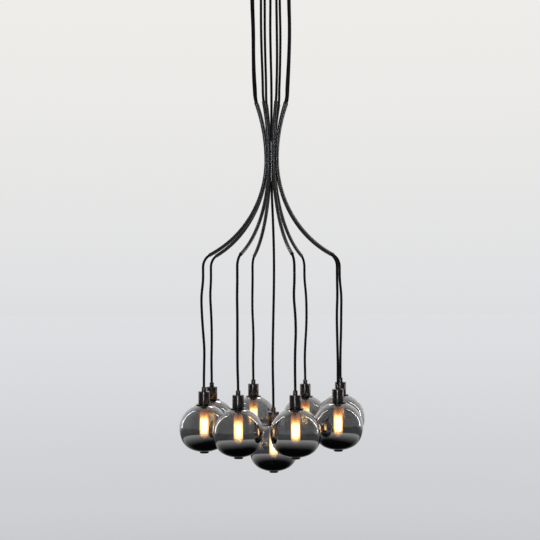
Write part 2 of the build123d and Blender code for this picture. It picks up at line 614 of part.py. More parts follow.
def make_lampholder(seat, name):
    """Cord cap, cup, gallery disc, socket sleeve and ring nut, which clamps the glass to the disc."""
    cup_bottom = GALLERY_THICKNESS
    cup_top = cup_bottom + CUP_HEIGHT
    cap_top = cup_top + CAP_HEIGHT
    groove = cap_top - CAP_HEIGHT / 3
    cup_roof = cup_top - CUP_WALL
    cap = [
        (CORD_BORE, cup_roof, 0),
        (CAP_SPIGOT_RADIUS, cup_roof, 0),
        (CAP_SPIGOT_RADIUS, cup_top, 0),
        (CAP_RADIUS, cup_top, 0),
        (CAP_RADIUS, groove - CAP_GROOVE_WIDTH, 0),
        (CAP_RADIUS - CAP_GROOVE_DEPTH, groove - CAP_GROOVE_WIDTH, 0),
        (CAP_RADIUS - CAP_GROOVE_DEPTH, groove, 0),
        (CAP_RADIUS, groove, 0),
        (CAP_RADIUS, cap_top, CAP_EDGE),
        (CORD_BORE, cap_top, 0),
    ]
    cup = [
        (CAP_SPIGOT_RADIUS + CAP_SPIGOT_CLEARANCE, cup_roof, 0),
        (CUP_RADIUS - CUP_WALL, cup_roof, 0),
        (CUP_RADIUS - CUP_WALL, cup_bottom, 0),
        (CUP_RADIUS, cup_bottom, 0),
        (CUP_RADIUS, cup_top, CUP_EDGE),
        (CAP_SPIGOT_RADIUS + CAP_SPIGOT_CLEARANCE, cup_top, 0),
    ]
    gallery = [
        (SLEEVE_RADIUS + SLEEVE_CLEARANCE, 0, 0),
        (GALLERY_RADIUS, 0, GALLERY_EDGE),
        (GALLERY_RADIUS, GALLERY_THICKNESS, GALLERY_EDGE),
        (SLEEVE_RADIUS + SLEEVE_CLEARANCE, GALLERY_THICKNESS, 0),
    ]
    bore_top = BULB_BASE_TOP + CONTACT_HEIGHT
    sleeve = [
        (0, bore_top, 0),
        (SLEEVE_BORE, bore_top, 0),
        (SLEEVE_BORE, -SLEEVE_TIP, 0),
        (SLEEVE_BORE + SLEEVE_TIP_WALL, -SLEEVE_TIP, 0),
        (SLEEVE_RADIUS, -SLEEVE_SKIRT, 0),
        (SLEEVE_RADIUS, SLEEVE_TOP, 0),
        (0, SLEEVE_TOP, 0),
    ]
    nut_bottom = -MOUTH_THICKNESS - RING_NUT_THICKNESS
    with BuildPart() as ring_nut:
        with BuildSketch(Plane(origin=seat.origin + Vector(0, 0, nut_bottom))):
            Circle(RING_NUT_RADIUS)
            with PolarLocations(RING_NUT_RADIUS, RING_NUT_NOTCHES):
                Circle(RING_NUT_THICKNESS / 3, mode=Mode.SUBTRACT)
            Circle(SLEEVE_RADIUS + THREAD_CLEARANCE, mode=Mode.SUBTRACT)
        extrude(amount=RING_NUT_THICKNESS)
    pieces = [turned(outline, seat) for outline in (cap, cup, gallery, sleeve)]
    finish(group(pieces + [ring_nut.part]), f"lampholder_{name}")


def make_bulb(seat, name):
    """A tubular bulb: screw base with its contact, thin glass envelope, and a stem with a long filament."""
    base = [
        (0, BULB_BASE_TOP + CONTACT_HEIGHT - THREAD_CLEARANCE, 0),
        (CONTACT_RADIUS, BULB_BASE_TOP + CONTACT_HEIGHT - THREAD_CLEARANCE, 0),
        (BULB_BASE_RADIUS, BULB_BASE_TOP - CONTACT_HEIGHT, 0),
        (BULB_BASE_RADIUS, -BULB_BASE_BOTTOM, 0),
        (0, -BULB_BASE_BOTTOM, 0),
    ]
    envelope = [
        (BULB_NECK_RADIUS, -BULB_BASE_BOTTOM, 0),
        (BULB_NECK_RADIUS, -BULB_NECK_BOTTOM, BULB_NECK_RADIUS / 2),
        (BULB_RADIUS, -BULB_SHOULDER_BOTTOM, BULB_RADIUS / 2),
        (BULB_RADIUS, -BULB_TIP, BULB_TIP_EDGE),
        (0, -BULB_TIP, 0),
        (0, BULB_GLASS - BULB_TIP, 0),
        (BULB_RADIUS - BULB_GLASS, BULB_GLASS - BULB_TIP, BULB_TIP_EDGE - BULB_GLASS),
        (BULB_RADIUS - BULB_GLASS, -BULB_SHOULDER_BOTTOM, BULB_RADIUS / 2),
        (BULB_NECK_RADIUS - BULB_GLASS, -BULB_NECK_BOTTOM, BULB_NECK_RADIUS / 2),
        (BULB_NECK_RADIUS - BULB_GLASS, -BULB_BASE_BOTTOM, 0),
    ]
    stem = [
        (0, -BULB_BASE_BOTTOM, 0),
        (STEM_FLARE_RADIUS, -BULB_BASE_BOTTOM, 0),
        (STEM_RADIUS, -BULB_BASE_BOTTOM - STEM_FLARE_LENGTH, 0),
        (STEM_RADIUS, -FILAMENT_BOTTOM - SPIDER_THICKNESS, 0),
        (0, -FILAMENT_BOTTOM - SPIDER_THICKNESS, 0),
    ]
    reach = FILAMENT_CIRCLE_RADIUS + 2 * FILAMENT_RADIUS
    with BuildPart() as filament:
        add(turned(stem, seat))
        for height in (FILAMENT_TOP, FILAMENT_BOTTOM + SPIDER_THICKNESS):
            with BuildSketch(Plane(origin=seat.origin - Vector(0, 0, height))):
                Circle(reach)
            extrude(amount=SPIDER_THICKNESS)
        with BuildSketch(Plane(origin=seat.origin - Vector(0, 0, FILAMENT_BOTTOM))):
            with PolarLocations(FILAMENT_CIRCLE_RADIUS, FILAMENT_COUNT):
                Circle(FILAMENT_RADIUS)
        extrude(amount=FILAMENT_BOTTOM - FILAMENT_TOP)
    pieces = [turned(base, seat), turned(envelope, seat), filament.part]
    finish(group(pieces), f"bulb_{name}")


def make_pendants():
    """The nine lampholders with their globes and bulbs."""
    for pivot, cap_height, name in zip(PIVOTS, CAP_HEIGHTS, NAMES):
        seat = upright_plane((pivot.X, pivot.Y, cap_height - GLASS_DROP))
        make_lampholder(seat, name)
        make_globe(seat, name)
        make_bulb(seat, name)


make_canopy()
make_crossbar()
make_canopy_screws()
make_terminal_block()
make_cord_grips()
make_hub()
make_arms()
make_arm_bushes()
make_cords()
make_pendants()
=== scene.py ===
import logging
import math
from dataclasses import dataclass
from enum import Enum
from typing import Iterable, Optional, Sequence, Union

import bmesh
import bpy
from mathutils import Matrix, Vector


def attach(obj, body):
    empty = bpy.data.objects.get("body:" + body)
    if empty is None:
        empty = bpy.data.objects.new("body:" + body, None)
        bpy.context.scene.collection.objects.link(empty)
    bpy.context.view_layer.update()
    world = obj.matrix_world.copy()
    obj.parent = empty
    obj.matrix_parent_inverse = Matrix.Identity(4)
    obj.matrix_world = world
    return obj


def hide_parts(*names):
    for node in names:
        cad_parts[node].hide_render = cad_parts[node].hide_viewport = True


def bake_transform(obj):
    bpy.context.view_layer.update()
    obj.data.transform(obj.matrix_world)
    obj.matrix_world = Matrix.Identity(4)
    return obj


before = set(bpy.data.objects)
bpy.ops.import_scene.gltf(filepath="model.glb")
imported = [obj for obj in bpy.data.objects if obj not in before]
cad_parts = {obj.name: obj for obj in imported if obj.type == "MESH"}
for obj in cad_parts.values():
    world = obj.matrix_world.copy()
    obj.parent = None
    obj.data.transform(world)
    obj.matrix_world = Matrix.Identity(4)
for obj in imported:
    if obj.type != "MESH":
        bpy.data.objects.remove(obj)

# Cluster pendant, in metres, +Z up, origin at the middle of the canopy's rim. The front faces -Y.

log = logging.getLogger("cluster_pendant")

Colour = tuple[float, float, float]
Point2 = tuple[float, float]
Value = Union[float, int, tuple, bpy.types.NodeSocket]

ROOT_BODY = "frame"
KEYS = ("1", "2", "3", "4", "5", "6", "7", "8", "centre")
ARM_ANGLES = tuple(22.5 + 45.0 * i for i in range(8))


class Slot(Enum):
    """The record's material slots."""

    CANOPY = "canopy_metal"
    ARM = "arm_metal"
    HOLDER = "holder_metal"
    GRIP = "grip_plastic"
    BUSH = "bush_rubber"
    CORD = "cord_braid"
    GLASS = "smoke_glass"
    BULB = "bulb_glass"


class Part(Enum):
    """The three stretches of the cord routes."""

    FREE = "free"
    IN_ARM = "in_arm"
    DROP = "drop"


# ------------------------------------------------------------------ node helpers
class NodeSheet:
    """A node tree with short ways to add nodes and join them."""

    def __init__(self, tree: bpy.types.NodeTree) -> None:
        """Start on an emptied tree.

        Args:
            tree: a shader or geometry tree.
        """
        self.tree = tree
        tree.nodes.clear()

    def put(self, socket: bpy.types.NodeSocket, value: Value) -> None:
        """Join a socket to another, or set its own value.

        Args:
            socket: the input to fill.
            value: an output socket to link, or a plain value.
        """
        if isinstance(value, bpy.types.NodeSocket):
            self.tree.links.new(value, socket)
        elif isinstance(value, tuple) and len(value) == 3 and socket.type == "RGBA":
            socket.default_value = (*value, 1.0)
        else:
            socket.default_value = value

    def add(self, kind: str, inputs: Optional[dict] = None, **settings: object) -> bpy.types.Node:
        """Add a node.

        Args:
            kind: the node's type name.
            inputs: input name or number to value or output socket.
            settings: the node's own properties.

        Returns:
            The new node.
        """
        node = self.tree.nodes.new(kind)
        for name, value in settings.items():
            setattr(node, name, value)
        self.fill(node, inputs or {})
        return node

    def fill(self, node: bpy.types.Node, values: dict) -> None:
        """Join or set several inputs of a node."""
        for name, value in values.items():
            self.put(node.inputs[name], value)

    def math(
        self, operation: str, first: Value, second: Value = 0.0, third: Value = 0.0
    ) -> bpy.types.NodeSocket:
        """Add a Math node.

        Args:
            operation: the node's operation.
            first: first operand.
            second: second operand.
            third: third operand.

        Returns:
            Its result.
        """
        return self.add("ShaderNodeMath", {0: first, 1: second, 2: third}, operation=operation).outputs[0]

    def mix(self, factor: Value, first: Value, second: Value) -> bpy.types.NodeSocket:
        """Mix two colours and return the result."""
        node = self.add("ShaderNodeMix", {0: factor, 6: first, 7: second}, data_type="RGBA")
        return node.outputs[2]

    def ramp(self, factor: Value, stops: Sequence[tuple[float, Colour]]) -> bpy.types.NodeSocket:
        """Add a colour ramp with straight steps between its stops.

        Args:
            factor: what it reads.
            stops: position and colour of each stop, in order.

        Returns:
            Its colour.
        """
        node = self.add("ShaderNodeValToRGB", {0: factor})
        band = node.color_ramp
        while len(band.elements) < len(stops):
            band.elements.new(0.5)
        for element, (place, colour) in zip(band.elements, stops):
            element.position = place
            element.color = (*colour, 1.0)
        return node.outputs[0]

    def range(
        self, value: Value, low: float, high: float, new_low: float, new_high: float
    ) -> bpy.types.NodeSocket:
        """Map a value from one range to another, clamped and eased."""
        inputs = {0: value, 1: low, 2: high, 3: new_low, 4: new_high}
        return self.add("ShaderNodeMapRange", inputs, interpolation_type="SMOOTHSTEP").outputs[0]

    def noise(self, place: Value, scale: Value, detail: float) -> bpy.types.NodeSocket:
        """Cloudy noise over a place."""
        return self.add("ShaderNodeTexNoise", {"Vector": place, "Scale": scale, "Detail": detail}).outputs[0]

    def bump(self, strength: float, distance: float, height: Value) -> bpy.types.NodeSocket:
        """A normal bent by a height."""
        values = {"Strength": strength, "Distance": distance, "Height": height}
        return self.add("ShaderNodeBump", values).outputs[0]

    def axes(self, vector: Value) -> bpy.types.bpy_prop_collection:
        """A vector's X, Y and Z."""
        return self.add("ShaderNodeSeparateXYZ", {0: vector}).outputs

    def vector(self, values: dict) -> bpy.types.NodeSocket:
        """A vector from some of its axes, by number."""
        return self.add("ShaderNodeCombineXYZ", values).outputs[0]

    def object_place(self) -> bpy.types.NodeSocket:
        """Where a point lies on its object."""
        return self.add("ShaderNodeTexCoord").outputs["Object"]

    def close(self, result: bpy.types.Node, geometry: Value, finish: Value) -> None:
        """End a geometry tree: make its instances real and give them their material.

        Args:
            result: the tree's output node.
            geometry: what the tree has made.
            finish: the material.
        """
        real = self.add("GeometryNodeRealizeInstances", {0: geometry}).outputs[0]
        dress = self.add("GeometryNodeSetMaterial", {"Geometry": real, "Material": finish})
        self.put(result.inputs[0], dress.outputs[0])


def new_group(name: str, kind: str, inputs: Sequence[tuple], outputs: Sequence[tuple]) -> tuple:
    """Make a node group with named sockets.

    Args:
        name: the group's name.
        kind: "ShaderNodeTree" or "GeometryNodeTree".
        inputs: (name, socket type without its prefix, default or None) of each input.
        outputs: (name, socket type without its prefix) of each output.

    Returns:
        The tree, its sheet, the group's input node and its output node.
    """
    tree = bpy.data.node_groups.new(name, kind)
    sheet = NodeSheet(tree)
    for label, form, default in inputs:
        socket = tree.interface.new_socket(name=label, in_out="INPUT", socket_type=f"NodeSocket{form}")
        if default is not None:
            socket.default_value = default
    for label, form in outputs:
        tree.interface.new_socket(name=label, in_out="OUTPUT", socket_type=f"NodeSocket{form}")
    return tree, sheet, sheet.add("NodeGroupInput"), sheet.add("NodeGroupOutput")


# ------------------------------------------------------------------ shared shader effects
class Effects:
    """Shader groups that several finishes share, each made once."""

    def __init__(self) -> None:
        """Build every group."""
        self.grain = self._grain()
        self.turned = self._turned()
        self.braid = self._braid()
        self.dust = self._dust()

    @staticmethod
    def _grain() -> bpy.types.NodeTree:
        """Mottled colour, uneven gloss and fine orange peel of a coated surface."""
        tree, sheet, source, result = new_group(
            "coating_grain",
            "ShaderNodeTree",
            [
                ("Vector", "Vector", None),
                ("Colour", "Color", None),
                ("Tint", "Color", None),
                ("Roughness", "Float", 0.4),
                ("Spread", "Float", 0.1),
                ("Patch Scale", "Float", 18.0),
                ("Grain Scale", "Float", 900.0),
            ],
            [("Colour", "Color"), ("Roughness", "Float"), ("Height", "Float")],
        )
        get = source.outputs
        patch = sheet.noise(get["Vector"], get["Patch Scale"], 5.0)
        fine = sheet.noise(get["Vector"], get["Grain Scale"], 2.0)
        colour = sheet.mix(sheet.range(patch, 0.35, 0.68, 0.0, 1.0), get["Colour"], get["Tint"])
        swing = sheet.math("MULTIPLY", sheet.math("SUBTRACT", patch, 0.5), get["Spread"])
        rough = sheet.math("ADD", get["Roughness"], sheet.math("MULTIPLY", swing, 2.0))
        sheet.fill(result, {"Colour": colour, "Roughness": rough, "Height": fine})
        return tree

    @staticmethod
    def _turned() -> bpy.types.NodeTree:
        """Fine rings left by a lathe tool, across the height of a turned piece."""
        tree, sheet, source, result = new_group(
            "turned_rings",
            "ShaderNodeTree",
            [("Vector", "Vector", None), ("Ring Scale", "Float", 2600.0)],
            [("Height", "Float"), ("Shade", "Float")],
        )
        height = sheet.axes(source.outputs["Vector"])[2]
        line = sheet.math("MULTIPLY", height, source.outputs["Ring Scale"])
        slow = sheet.math("MULTIPLY", line, 0.06)
        cuts = {"W": line, "Scale": 1.0, "Detail": 3.0}
        rings = sheet.add("ShaderNodeTexNoise", cuts, noise_dimensions="1D")
        broad = sheet.add("ShaderNodeTexNoise", {"W": slow, "Scale": 1.0}, noise_dimensions="1D")
        sheet.fill(result, {"Height": rings.outputs[0], "Shade": broad.outputs[0]})
        return tree

    @staticmethod
    def _braid() -> bpy.types.NodeTree:
        """Two families of strands that cross round a cord. Its UV runs once round and along in metres."""
        tree, sheet, source, result = new_group(
            "cord_weave",
            "ShaderNodeTree",
            [
                ("UV", "Vector", None),
                ("Strands", "Float", 14.0),
                ("Turn Length", "Float", 0.034),
            ],
            [("Height", "Float"), ("Fleck", "Float")],
        )
        spot = sheet.axes(source.outputs["UV"])
        strands = source.outputs["Strands"]
        around = sheet.math("MULTIPLY", spot[0], strands)
        turns = sheet.math("DIVIDE", spot[1], source.outputs["Turn Length"])
        along = sheet.math("MULTIPLY", turns, strands)
        waves = []
        for operation in ("ADD", "SUBTRACT"):
            phase = sheet.math("MULTIPLY", sheet.math(operation, around, along), math.tau)
            waves.append(sheet.math("MULTIPLY_ADD", sheet.math("SINE", phase), 0.5, 0.5))
        over = sheet.math("MAXIMUM", waves[0], waves[1])
        grid = sheet.vector({0: sheet.math("FLOOR", around), 1: sheet.math("FLOOR", along)})
        fleck = sheet.add("ShaderNodeTexWhiteNoise", {"Vector": grid})
        sheet.fill(result, {"Height": over, "Fleck": fleck.outputs[0]})
        return tree

    @staticmethod
    def _dust() -> bpy.types.NodeTree:
        """A thin uneven bloom of dust on what faces up."""
        tree, sheet, source, result = new_group(
            "settled_dust",
            "ShaderNodeTree",
            [
                ("Vector", "Vector", None),
                ("Colour", "Color", None),
                ("Amount", "Float", 0.2),
            ],
            [("Colour", "Color"), ("Mask", "Float")],
        )
        facing = sheet.axes(sheet.add("ShaderNodeNewGeometry").outputs["Normal"])[2]
        upward = sheet.range(facing, 0.3, 1.0, 0.0, 1.0)
        specks = sheet.noise(source.outputs["Vector"], 420.0, 4.0)
        spots = sheet.range(specks, 0.42, 0.62, 0.25, 1.0)
        mask = sheet.math("MULTIPLY", sheet.math("MULTIPLY", upward, spots), source.outputs["Amount"])
        colour = sheet.mix(mask, source.outputs["Colour"], (0.33, 0.32, 0.30))
        sheet.fill(result, {"Colour": colour, "Mask": mask})
        return tree


def start_material(name: str) -> tuple:
    """Make a material with a Principled shader.

    Args:
        name: the material's name.

    Returns:
        The material, its sheet and the shader node.
    """
    material = bpy.data.materials.new(name)
    material.use_nodes = True
    sheet = NodeSheet(material.node_tree)
    shader = sheet.add("ShaderNodeBsdfPrincipled")
    output = sheet.add("ShaderNodeOutputMaterial")
    sheet.put(output.inputs["Surface"], shader.outputs[0])
    return material, sheet, shader


def placed_group(sheet: NodeSheet, tree: bpy.types.NodeTree, inputs: dict) -> bpy.types.Node:
    """Add the group node first, so that its sockets exist before they are filled."""
    node = sheet.add("ShaderNodeGroup", node_tree=tree)
    sheet.fill(node, inputs)
    return node


# ------------------------------------------------------------------ finishes
@dataclass(frozen=True)
class Bench:
    """What a finish works on: its material's sheet and shader, and the shared groups."""

    sheet: NodeSheet
    shader: bpy.types.Node
    effects: Effects


@dataclass(frozen=True)
class Finish:
    """One surface finish, made once as a material."""

    name: str

    def build(self, effects: Effects) -> bpy.types.Material:
        """Make the material.

        Args:
            effects: the shared shader groups.

        Returns:
            The material.
        """
        material, sheet, shader = start_material(self.name)
        sheet.fill(shader, self.look(Bench(sheet, shader, effects)))
        return material

    def look(self, bench: Bench) -> dict:
        """The shader's inputs; every finish has its own."""
        raise NotImplementedError(self.name)


@dataclass(frozen=True)
class Mottled(Finish):
    """A finish between two near colours, with an uneven gloss."""

    colour: Colour
    tint: Colour
    roughness: float

    def grain(self, bench: Bench, spread: float, **scales: float) -> bpy.types.Node:
        """The mottling group with this finish's colours.

        Args:
            bench: what it works on.
            spread: how much the gloss varies.
            scales: the group's other inputs, with _ for a space.

        Returns:
            The group node.
        """
        values = {
            "Vector": bench.sheet.object_place(),
            "Colour": self.colour,
            "Tint": self.tint,
            "Roughness": self.roughness,
            "Spread": spread,
        }
        values.update({name.replace("_", " "): value for name, value in scales.items()})
        return placed_group(bench.sheet, bench.effects.grain, values)


@dataclass(frozen=True)
class CoatedMetal(Mottled):
    """Satin paint or plating with faint mottling, orange peel and dust."""

    metallic: float = 0.0
    peel: float = 0.00004
    dust: float = 0.12
    specular: float = 0.5

    def look(self, bench: Bench) -> dict:
        """The coat and the dust on it.

        Args:
            bench: what it works on.

        Returns:
            Input name to value.
        """
        sheet = bench.sheet
        grain = self.grain(bench, 0.08).outputs
        values = {"Vector": sheet.object_place(), "Colour": grain["Colour"], "Amount": self.dust}
        dust = placed_group(sheet, bench.effects.dust, values).outputs
        rough = sheet.math("ADD", grain["Roughness"], sheet.math("MULTIPLY", dust["Mask"], 0.5))
        return {
            "Base Color": dust["Colour"],
            "Roughness": rough,
            "Normal": sheet.bump(0.35, self.peel, grain["Height"]),
            "Metallic": self.metallic,
            "Specular IOR Level": self.specular,
        }


@dataclass(frozen=True)
class TurnedMetal(Mottled):
    """Bare or plated metal off a lathe: rings across its height and uneven colour."""

    ring_depth: float = 0.00001
    ring_scale: float = 2600.0

    def look(self, bench: Bench) -> dict:
        """The metal and its rings.

        Args:
            bench: what it works on.

        Returns:
            Input name to value.
        """
        sheet = bench.sheet
        grain = self.grain(bench, 0.07, Patch_Scale=60.0).outputs
        values = {"Vector": sheet.object_place(), "Ring Scale": self.ring_scale}
        rings = placed_group(sheet, bench.effects.turned, values).outputs
        shade = sheet.range(rings["Shade"], 0.3, 0.7, 0.82, 1.12)
        grey = sheet.add("ShaderNodeCombineColor", {0: shade, 1: shade, 2: shade}).outputs[0]
        colour = sheet.add(
            "ShaderNodeMix", {0: 1.0, 6: grain["Colour"], 7: grey}, data_type="RGBA", blend_type="MULTIPLY"
        ).outputs[2]
        return {
            "Base Color": colour,
            "Roughness": grain["Roughness"],
            "Normal": sheet.bump(0.5, self.ring_depth, rings["Height"]),
            "Metallic": 1.0,
        }


@dataclass(frozen=True)
class Moulded(Mottled):
    """Moulded plastic, rubber or glass with a fine texture."""

    texture: float = 0.00006

    def look(self, bench: Bench) -> dict:
        """The moulded surface.

        Args:
            bench: what it works on.

        Returns:
            Input name to value.
        """
        sheet = bench.sheet
        grain = self.grain(bench, 0.1, Patch_Scale=90.0, Grain_Scale=2400.0).outputs
        return {
            "Base Color": grain["Colour"],
            "Roughness": grain["Roughness"],
            "Normal": sheet.bump(0.6, self.texture, grain["Height"]),
        }


@dataclass(frozen=True)
class Braid(Finish):
    """Black textile braid round a cord."""

    # dark is the painted shade between the strands, light the raised strands' colour.
    dark: Colour
    light: Colour
    depth: float = 0.00018

    def look(self, bench: Bench) -> dict:
        """The woven strands, with painted shade between them.

        Args:
            bench: what it works on.

        Returns:
            Input name to value.
        """
        sheet = bench.sheet
        along = sheet.add("ShaderNodeUVMap", uv_map="cord").outputs[0]
        weave = placed_group(sheet, bench.effects.braid, {"UV": along}).outputs
        # Painted shade: the colour darkens where the weave lies low between strands. The random fleck of each
        # strand is its own tone.
        fleck = sheet.math("MULTIPLY_ADD", weave["Fleck"], 0.5, 0.5)
        share = sheet.math("MULTIPLY", weave["Height"], fleck)
        return {
            "Base Color": sheet.mix(share, self.dark, self.light),
            "Roughness": sheet.math("MULTIPLY_ADD", weave["Height"], -0.12, 0.82),
            "Normal": sheet.bump(0.8, self.depth, weave["Height"]),
            "Specular IOR Level": 0.12,
        }


def clouded_depth(sheet: NodeSheet, scale: float, detail: float, drift: float) -> bpy.types.NodeSocket:
    """Each vertex's depth, with its level lines made uneven.

    Args:
        sheet: the material's sheet.
        scale: the clouds' scale.
        detail: the clouds' detail.
        drift: how far the clouds move a level.

    Returns:
        The depth.
    """
    depth = sheet.add("ShaderNodeAttribute", attribute_name="depth").outputs["Fac"]
    cloud = sheet.math("SUBTRACT", sheet.noise(sheet.object_place(), scale, detail), 0.5)
    return sheet.math("ADD", depth, sheet.math("MULTIPLY", cloud, drift))


@dataclass(frozen=True)
class SmokeGlass(Finish):
    """Blown glass with a smoke lustre that deepens to black at the bottom."""

    stops: tuple
    coat_stops: tuple
    ior: float = 1.45
    coat_ior: float = 3.0

    def look(self, bench: Bench) -> dict:
        """The glass and its lustre.

        Args:
            bench: what it works on.

        Returns:
            Input name to value.
        """
        sheet = bench.sheet
        level = clouded_depth(sheet, 16.0, 3.0, 0.05)
        waves = sheet.noise(sheet.object_place(), 22.0, 1.0)
        coat = [(spot, (value, value, value)) for spot, value in self.coat_stops]
        return {
            "Base Color": sheet.ramp(level, self.stops),
            "Coat Weight": sheet.ramp(level, coat),
            "Normal": sheet.bump(0.25, 0.0006, waves),
            "Roughness": 0.0,
            "IOR": self.ior,
            "Transmission Weight": 1.0,
            "Specular IOR Level": 0.35,
            "Coat IOR": self.coat_ior,
            "Coat Roughness": 0.015,
        }


@dataclass(frozen=True)
class LitGlass(Finish):
    """The amber glass of a lit bulb, hazy with its own light."""

    tint: Colour
    glow_stops: tuple
    strength: float
    alpha: float
    roughness: float = 0.08

    def build(self, effects: Effects) -> bpy.types.Material:
        """Make the material, whose glow is seen but not sampled as a lamp."""
        material = super().build(effects)
        material.cycles.emission_sampling = "NONE"
        return material

    def look(self, bench: Bench) -> dict:
        """The tint and the glow.

        Args:
            bench: what it works on.

        Returns:
            Input name to value.
        """
        sheet = bench.sheet
        level = clouded_depth(sheet, 190.0, 2.0, 0.24)
        return {
            "Base Color": self.tint,
            "Emission Color": sheet.ramp(level, self.glow_stops),
            "Emission Strength": self.strength,
            "Alpha": self.alpha,
            "Roughness": self.roughness,
        }


class FinishBook:
    """Every finish of the lamp, built once and looked up by name."""

    def __init__(self, effects: Effects) -> None:
        """Build every material.

        Args:
            effects: the shared shader groups.
        """
        finishes = (
            CoatedMetal(
                "satin_black_bronze",
                (0.0075, 0.0072, 0.0072),
                (0.014, 0.0125, 0.0105),
                0.22,
                peel=0.000004,
                dust=0.02,
                specular=1.0,
            ),
            CoatedMetal("satin_black_canopy", (0.018, 0.018, 0.018), (0.026, 0.025, 0.024), 0.42, 0.0),
            CoatedMetal("zinc_plate", (0.52, 0.53, 0.55), (0.62, 0.60, 0.52), 0.34, 1.0, dust=0.05),
            TurnedMetal("dark_nickel", (0.105, 0.094, 0.089), (0.150, 0.128, 0.118), 0.22),
            TurnedMetal("dark_nickel_disc", (0.040, 0.037, 0.036), (0.060, 0.054, 0.052), 0.28),
            TurnedMetal("polished_nut", (0.88, 0.86, 0.83), (0.80, 0.78, 0.75), 0.32),
            TurnedMetal("bright_nickel", (0.72, 0.70, 0.66), (0.60, 0.57, 0.52), 0.20),
            TurnedMetal("lamp_base_brass", (0.74, 0.55, 0.30), (0.62, 0.44, 0.24), 0.25, 0.00002, 1500.0),
            Moulded("black_nylon", (0.020, 0.020, 0.021), (0.032, 0.032, 0.033), 0.55),
            Moulded("white_nylon", (0.80, 0.80, 0.77), (0.72, 0.72, 0.69), 0.50),
            Moulded("black_rubber", (0.014, 0.014, 0.014), (0.022, 0.022, 0.022), 0.68),
            Braid("black_braid", (0.0022, 0.0022, 0.0025), (0.0055, 0.0054, 0.0054)),
            SmokeGlass(
                "smoke_lustre_glass",
                (
                    (0.00, (0.50, 0.50, 0.51)),
                    (0.30, (0.43, 0.43, 0.44)),
                    (0.46, (0.38, 0.38, 0.39)),
                    (0.58, (0.24, 0.24, 0.25)),
                    (0.68, (0.045, 0.045, 0.047)),
                    (0.78, (0.006, 0.006, 0.006)),
                    (1.00, (0.002, 0.002, 0.002)),
                ),
                (
                    (0.00, 0.32),
                    (0.25, 0.60),
                    (0.56, 0.95),
                    (0.66, 0.85),
                    (0.74, 0.40),
                    (0.82, 0.06),
                    (0.88, 0.00),
                ),
            ),
            LitGlass(
                "amber_bulb_glass",
                (0.10, 0.030, 0.008),
                (
                    (0.00, (0.04, 0.011, 0.002)),
                    (0.14, (0.22, 0.072, 0.011)),
                    (0.36, (0.60, 0.240, 0.040)),
                    (0.55, (1.00, 0.470, 0.085)),
                    (0.94, (1.00, 0.440, 0.080)),
                    (1.00, (0.60, 0.200, 0.035)),
                ),
                4.5,
                0.42,
            ),
            LitGlass(
                "filament_haze",
                (0.20, 0.08, 0.02),
                (
                    (0.00, (0.01, 0.003, 0.001)),
                    (0.16, (0.05, 0.017, 0.003)),
                    (0.28, (0.18, 0.085, 0.018)),
                    (0.40, (1.00, 0.660, 0.250)),
                    (0.94, (1.00, 0.680, 0.260)),
                    (1.00, (1.00, 0.420, 0.090)),
                ),
                22.0,
                0.50,
                0.4,
            ),
            LitGlass(
                "filament_white",
                (0.9, 0.7, 0.4),
                (
                    (0.00, (0.03, 0.006, 0.001)),
                    (0.22, (0.08, 0.022, 0.004)),
                    (0.36, (0.60, 0.300, 0.080)),
                    (0.46, (1.00, 0.860, 0.560)),
                    (1.00, (1.00, 0.860, 0.560)),
                ),
                34.0,
                1.0,
                0.4,
            ),
            Moulded("smoked_stem_glass", (0.22, 0.075, 0.022), (0.30, 0.11, 0.035), 0.15),
        )
        self._made = {finish.name: finish.build(effects) for finish in finishes}

    def __getitem__(self, name: str) -> bpy.types.Material:
        """The material of that name."""
        return self._made[name]


# ------------------------------------------------------------------ mesh helpers
def link(name: str, data: bpy.types.ID) -> bpy.types.Object:
    """Put an object with that data in the scene."""
    item = bpy.data.objects.new(name, data)
    bpy.context.scene.collection.objects.link(item)
    return item


def closed(form: bmesh.types.BMesh, name: str) -> bpy.types.Mesh:
    """Turn a form's faces outwards and keep it as a mesh.

    Args:
        form: the form, which is freed.
        name: the mesh's name.

    Returns:
        The mesh.
    """
    bmesh.ops.recalc_face_normals(form, faces=form.faces)
    mesh = bpy.data.meshes.new(name)
    form.to_mesh(mesh)
    form.free()
    return mesh


def evaluated(carrier: bpy.types.Object) -> bpy.types.Mesh:
    """The plain mesh of an object's modifiers or curve; the object is removed."""
    depsgraph = bpy.context.evaluated_depsgraph_get()
    mesh = bpy.data.meshes.new_from_object(carrier.evaluated_get(depsgraph), depsgraph=depsgraph)
    bpy.data.objects.remove(carrier)
    return mesh


def ring_of(form: bmesh.types.BMesh, centre: Vector, radii: Sequence[float], height: float) -> list:
    """Add a level ring of vertices.

    Args:
        form: the form to add them to.
        centre: where the ring's radii and height count from.
        radii: each vertex's radius, in order round the ring.
        height: the ring's height.

    Returns:
        The vertices.
    """
    ring = []
    for i, radius in enumerate(radii):
        turn = math.tau * i / len(radii)
        out = Vector((radius * math.cos(turn), radius * math.sin(turn), height))
        ring.append(form.verts.new(centre + out))
    return ring


def bridge(form: bmesh.types.BMesh, first: Sequence, second: Sequence, segments: int) -> None:
    """Join two rings with faces; a ring of one vertex is a pole.

    Args:
        form: the form that holds them.
        first: one ring.
        second: the other.
        segments: faces round the axis.
    """
    for i in range(segments):
        j = (i + 1) % segments
        corners = [
            first[i % len(first)],
            first[j % len(first)],
            second[j % len(second)],
            second[i % len(second)],
        ]
        form.faces.new(list(dict.fromkeys(corners)))


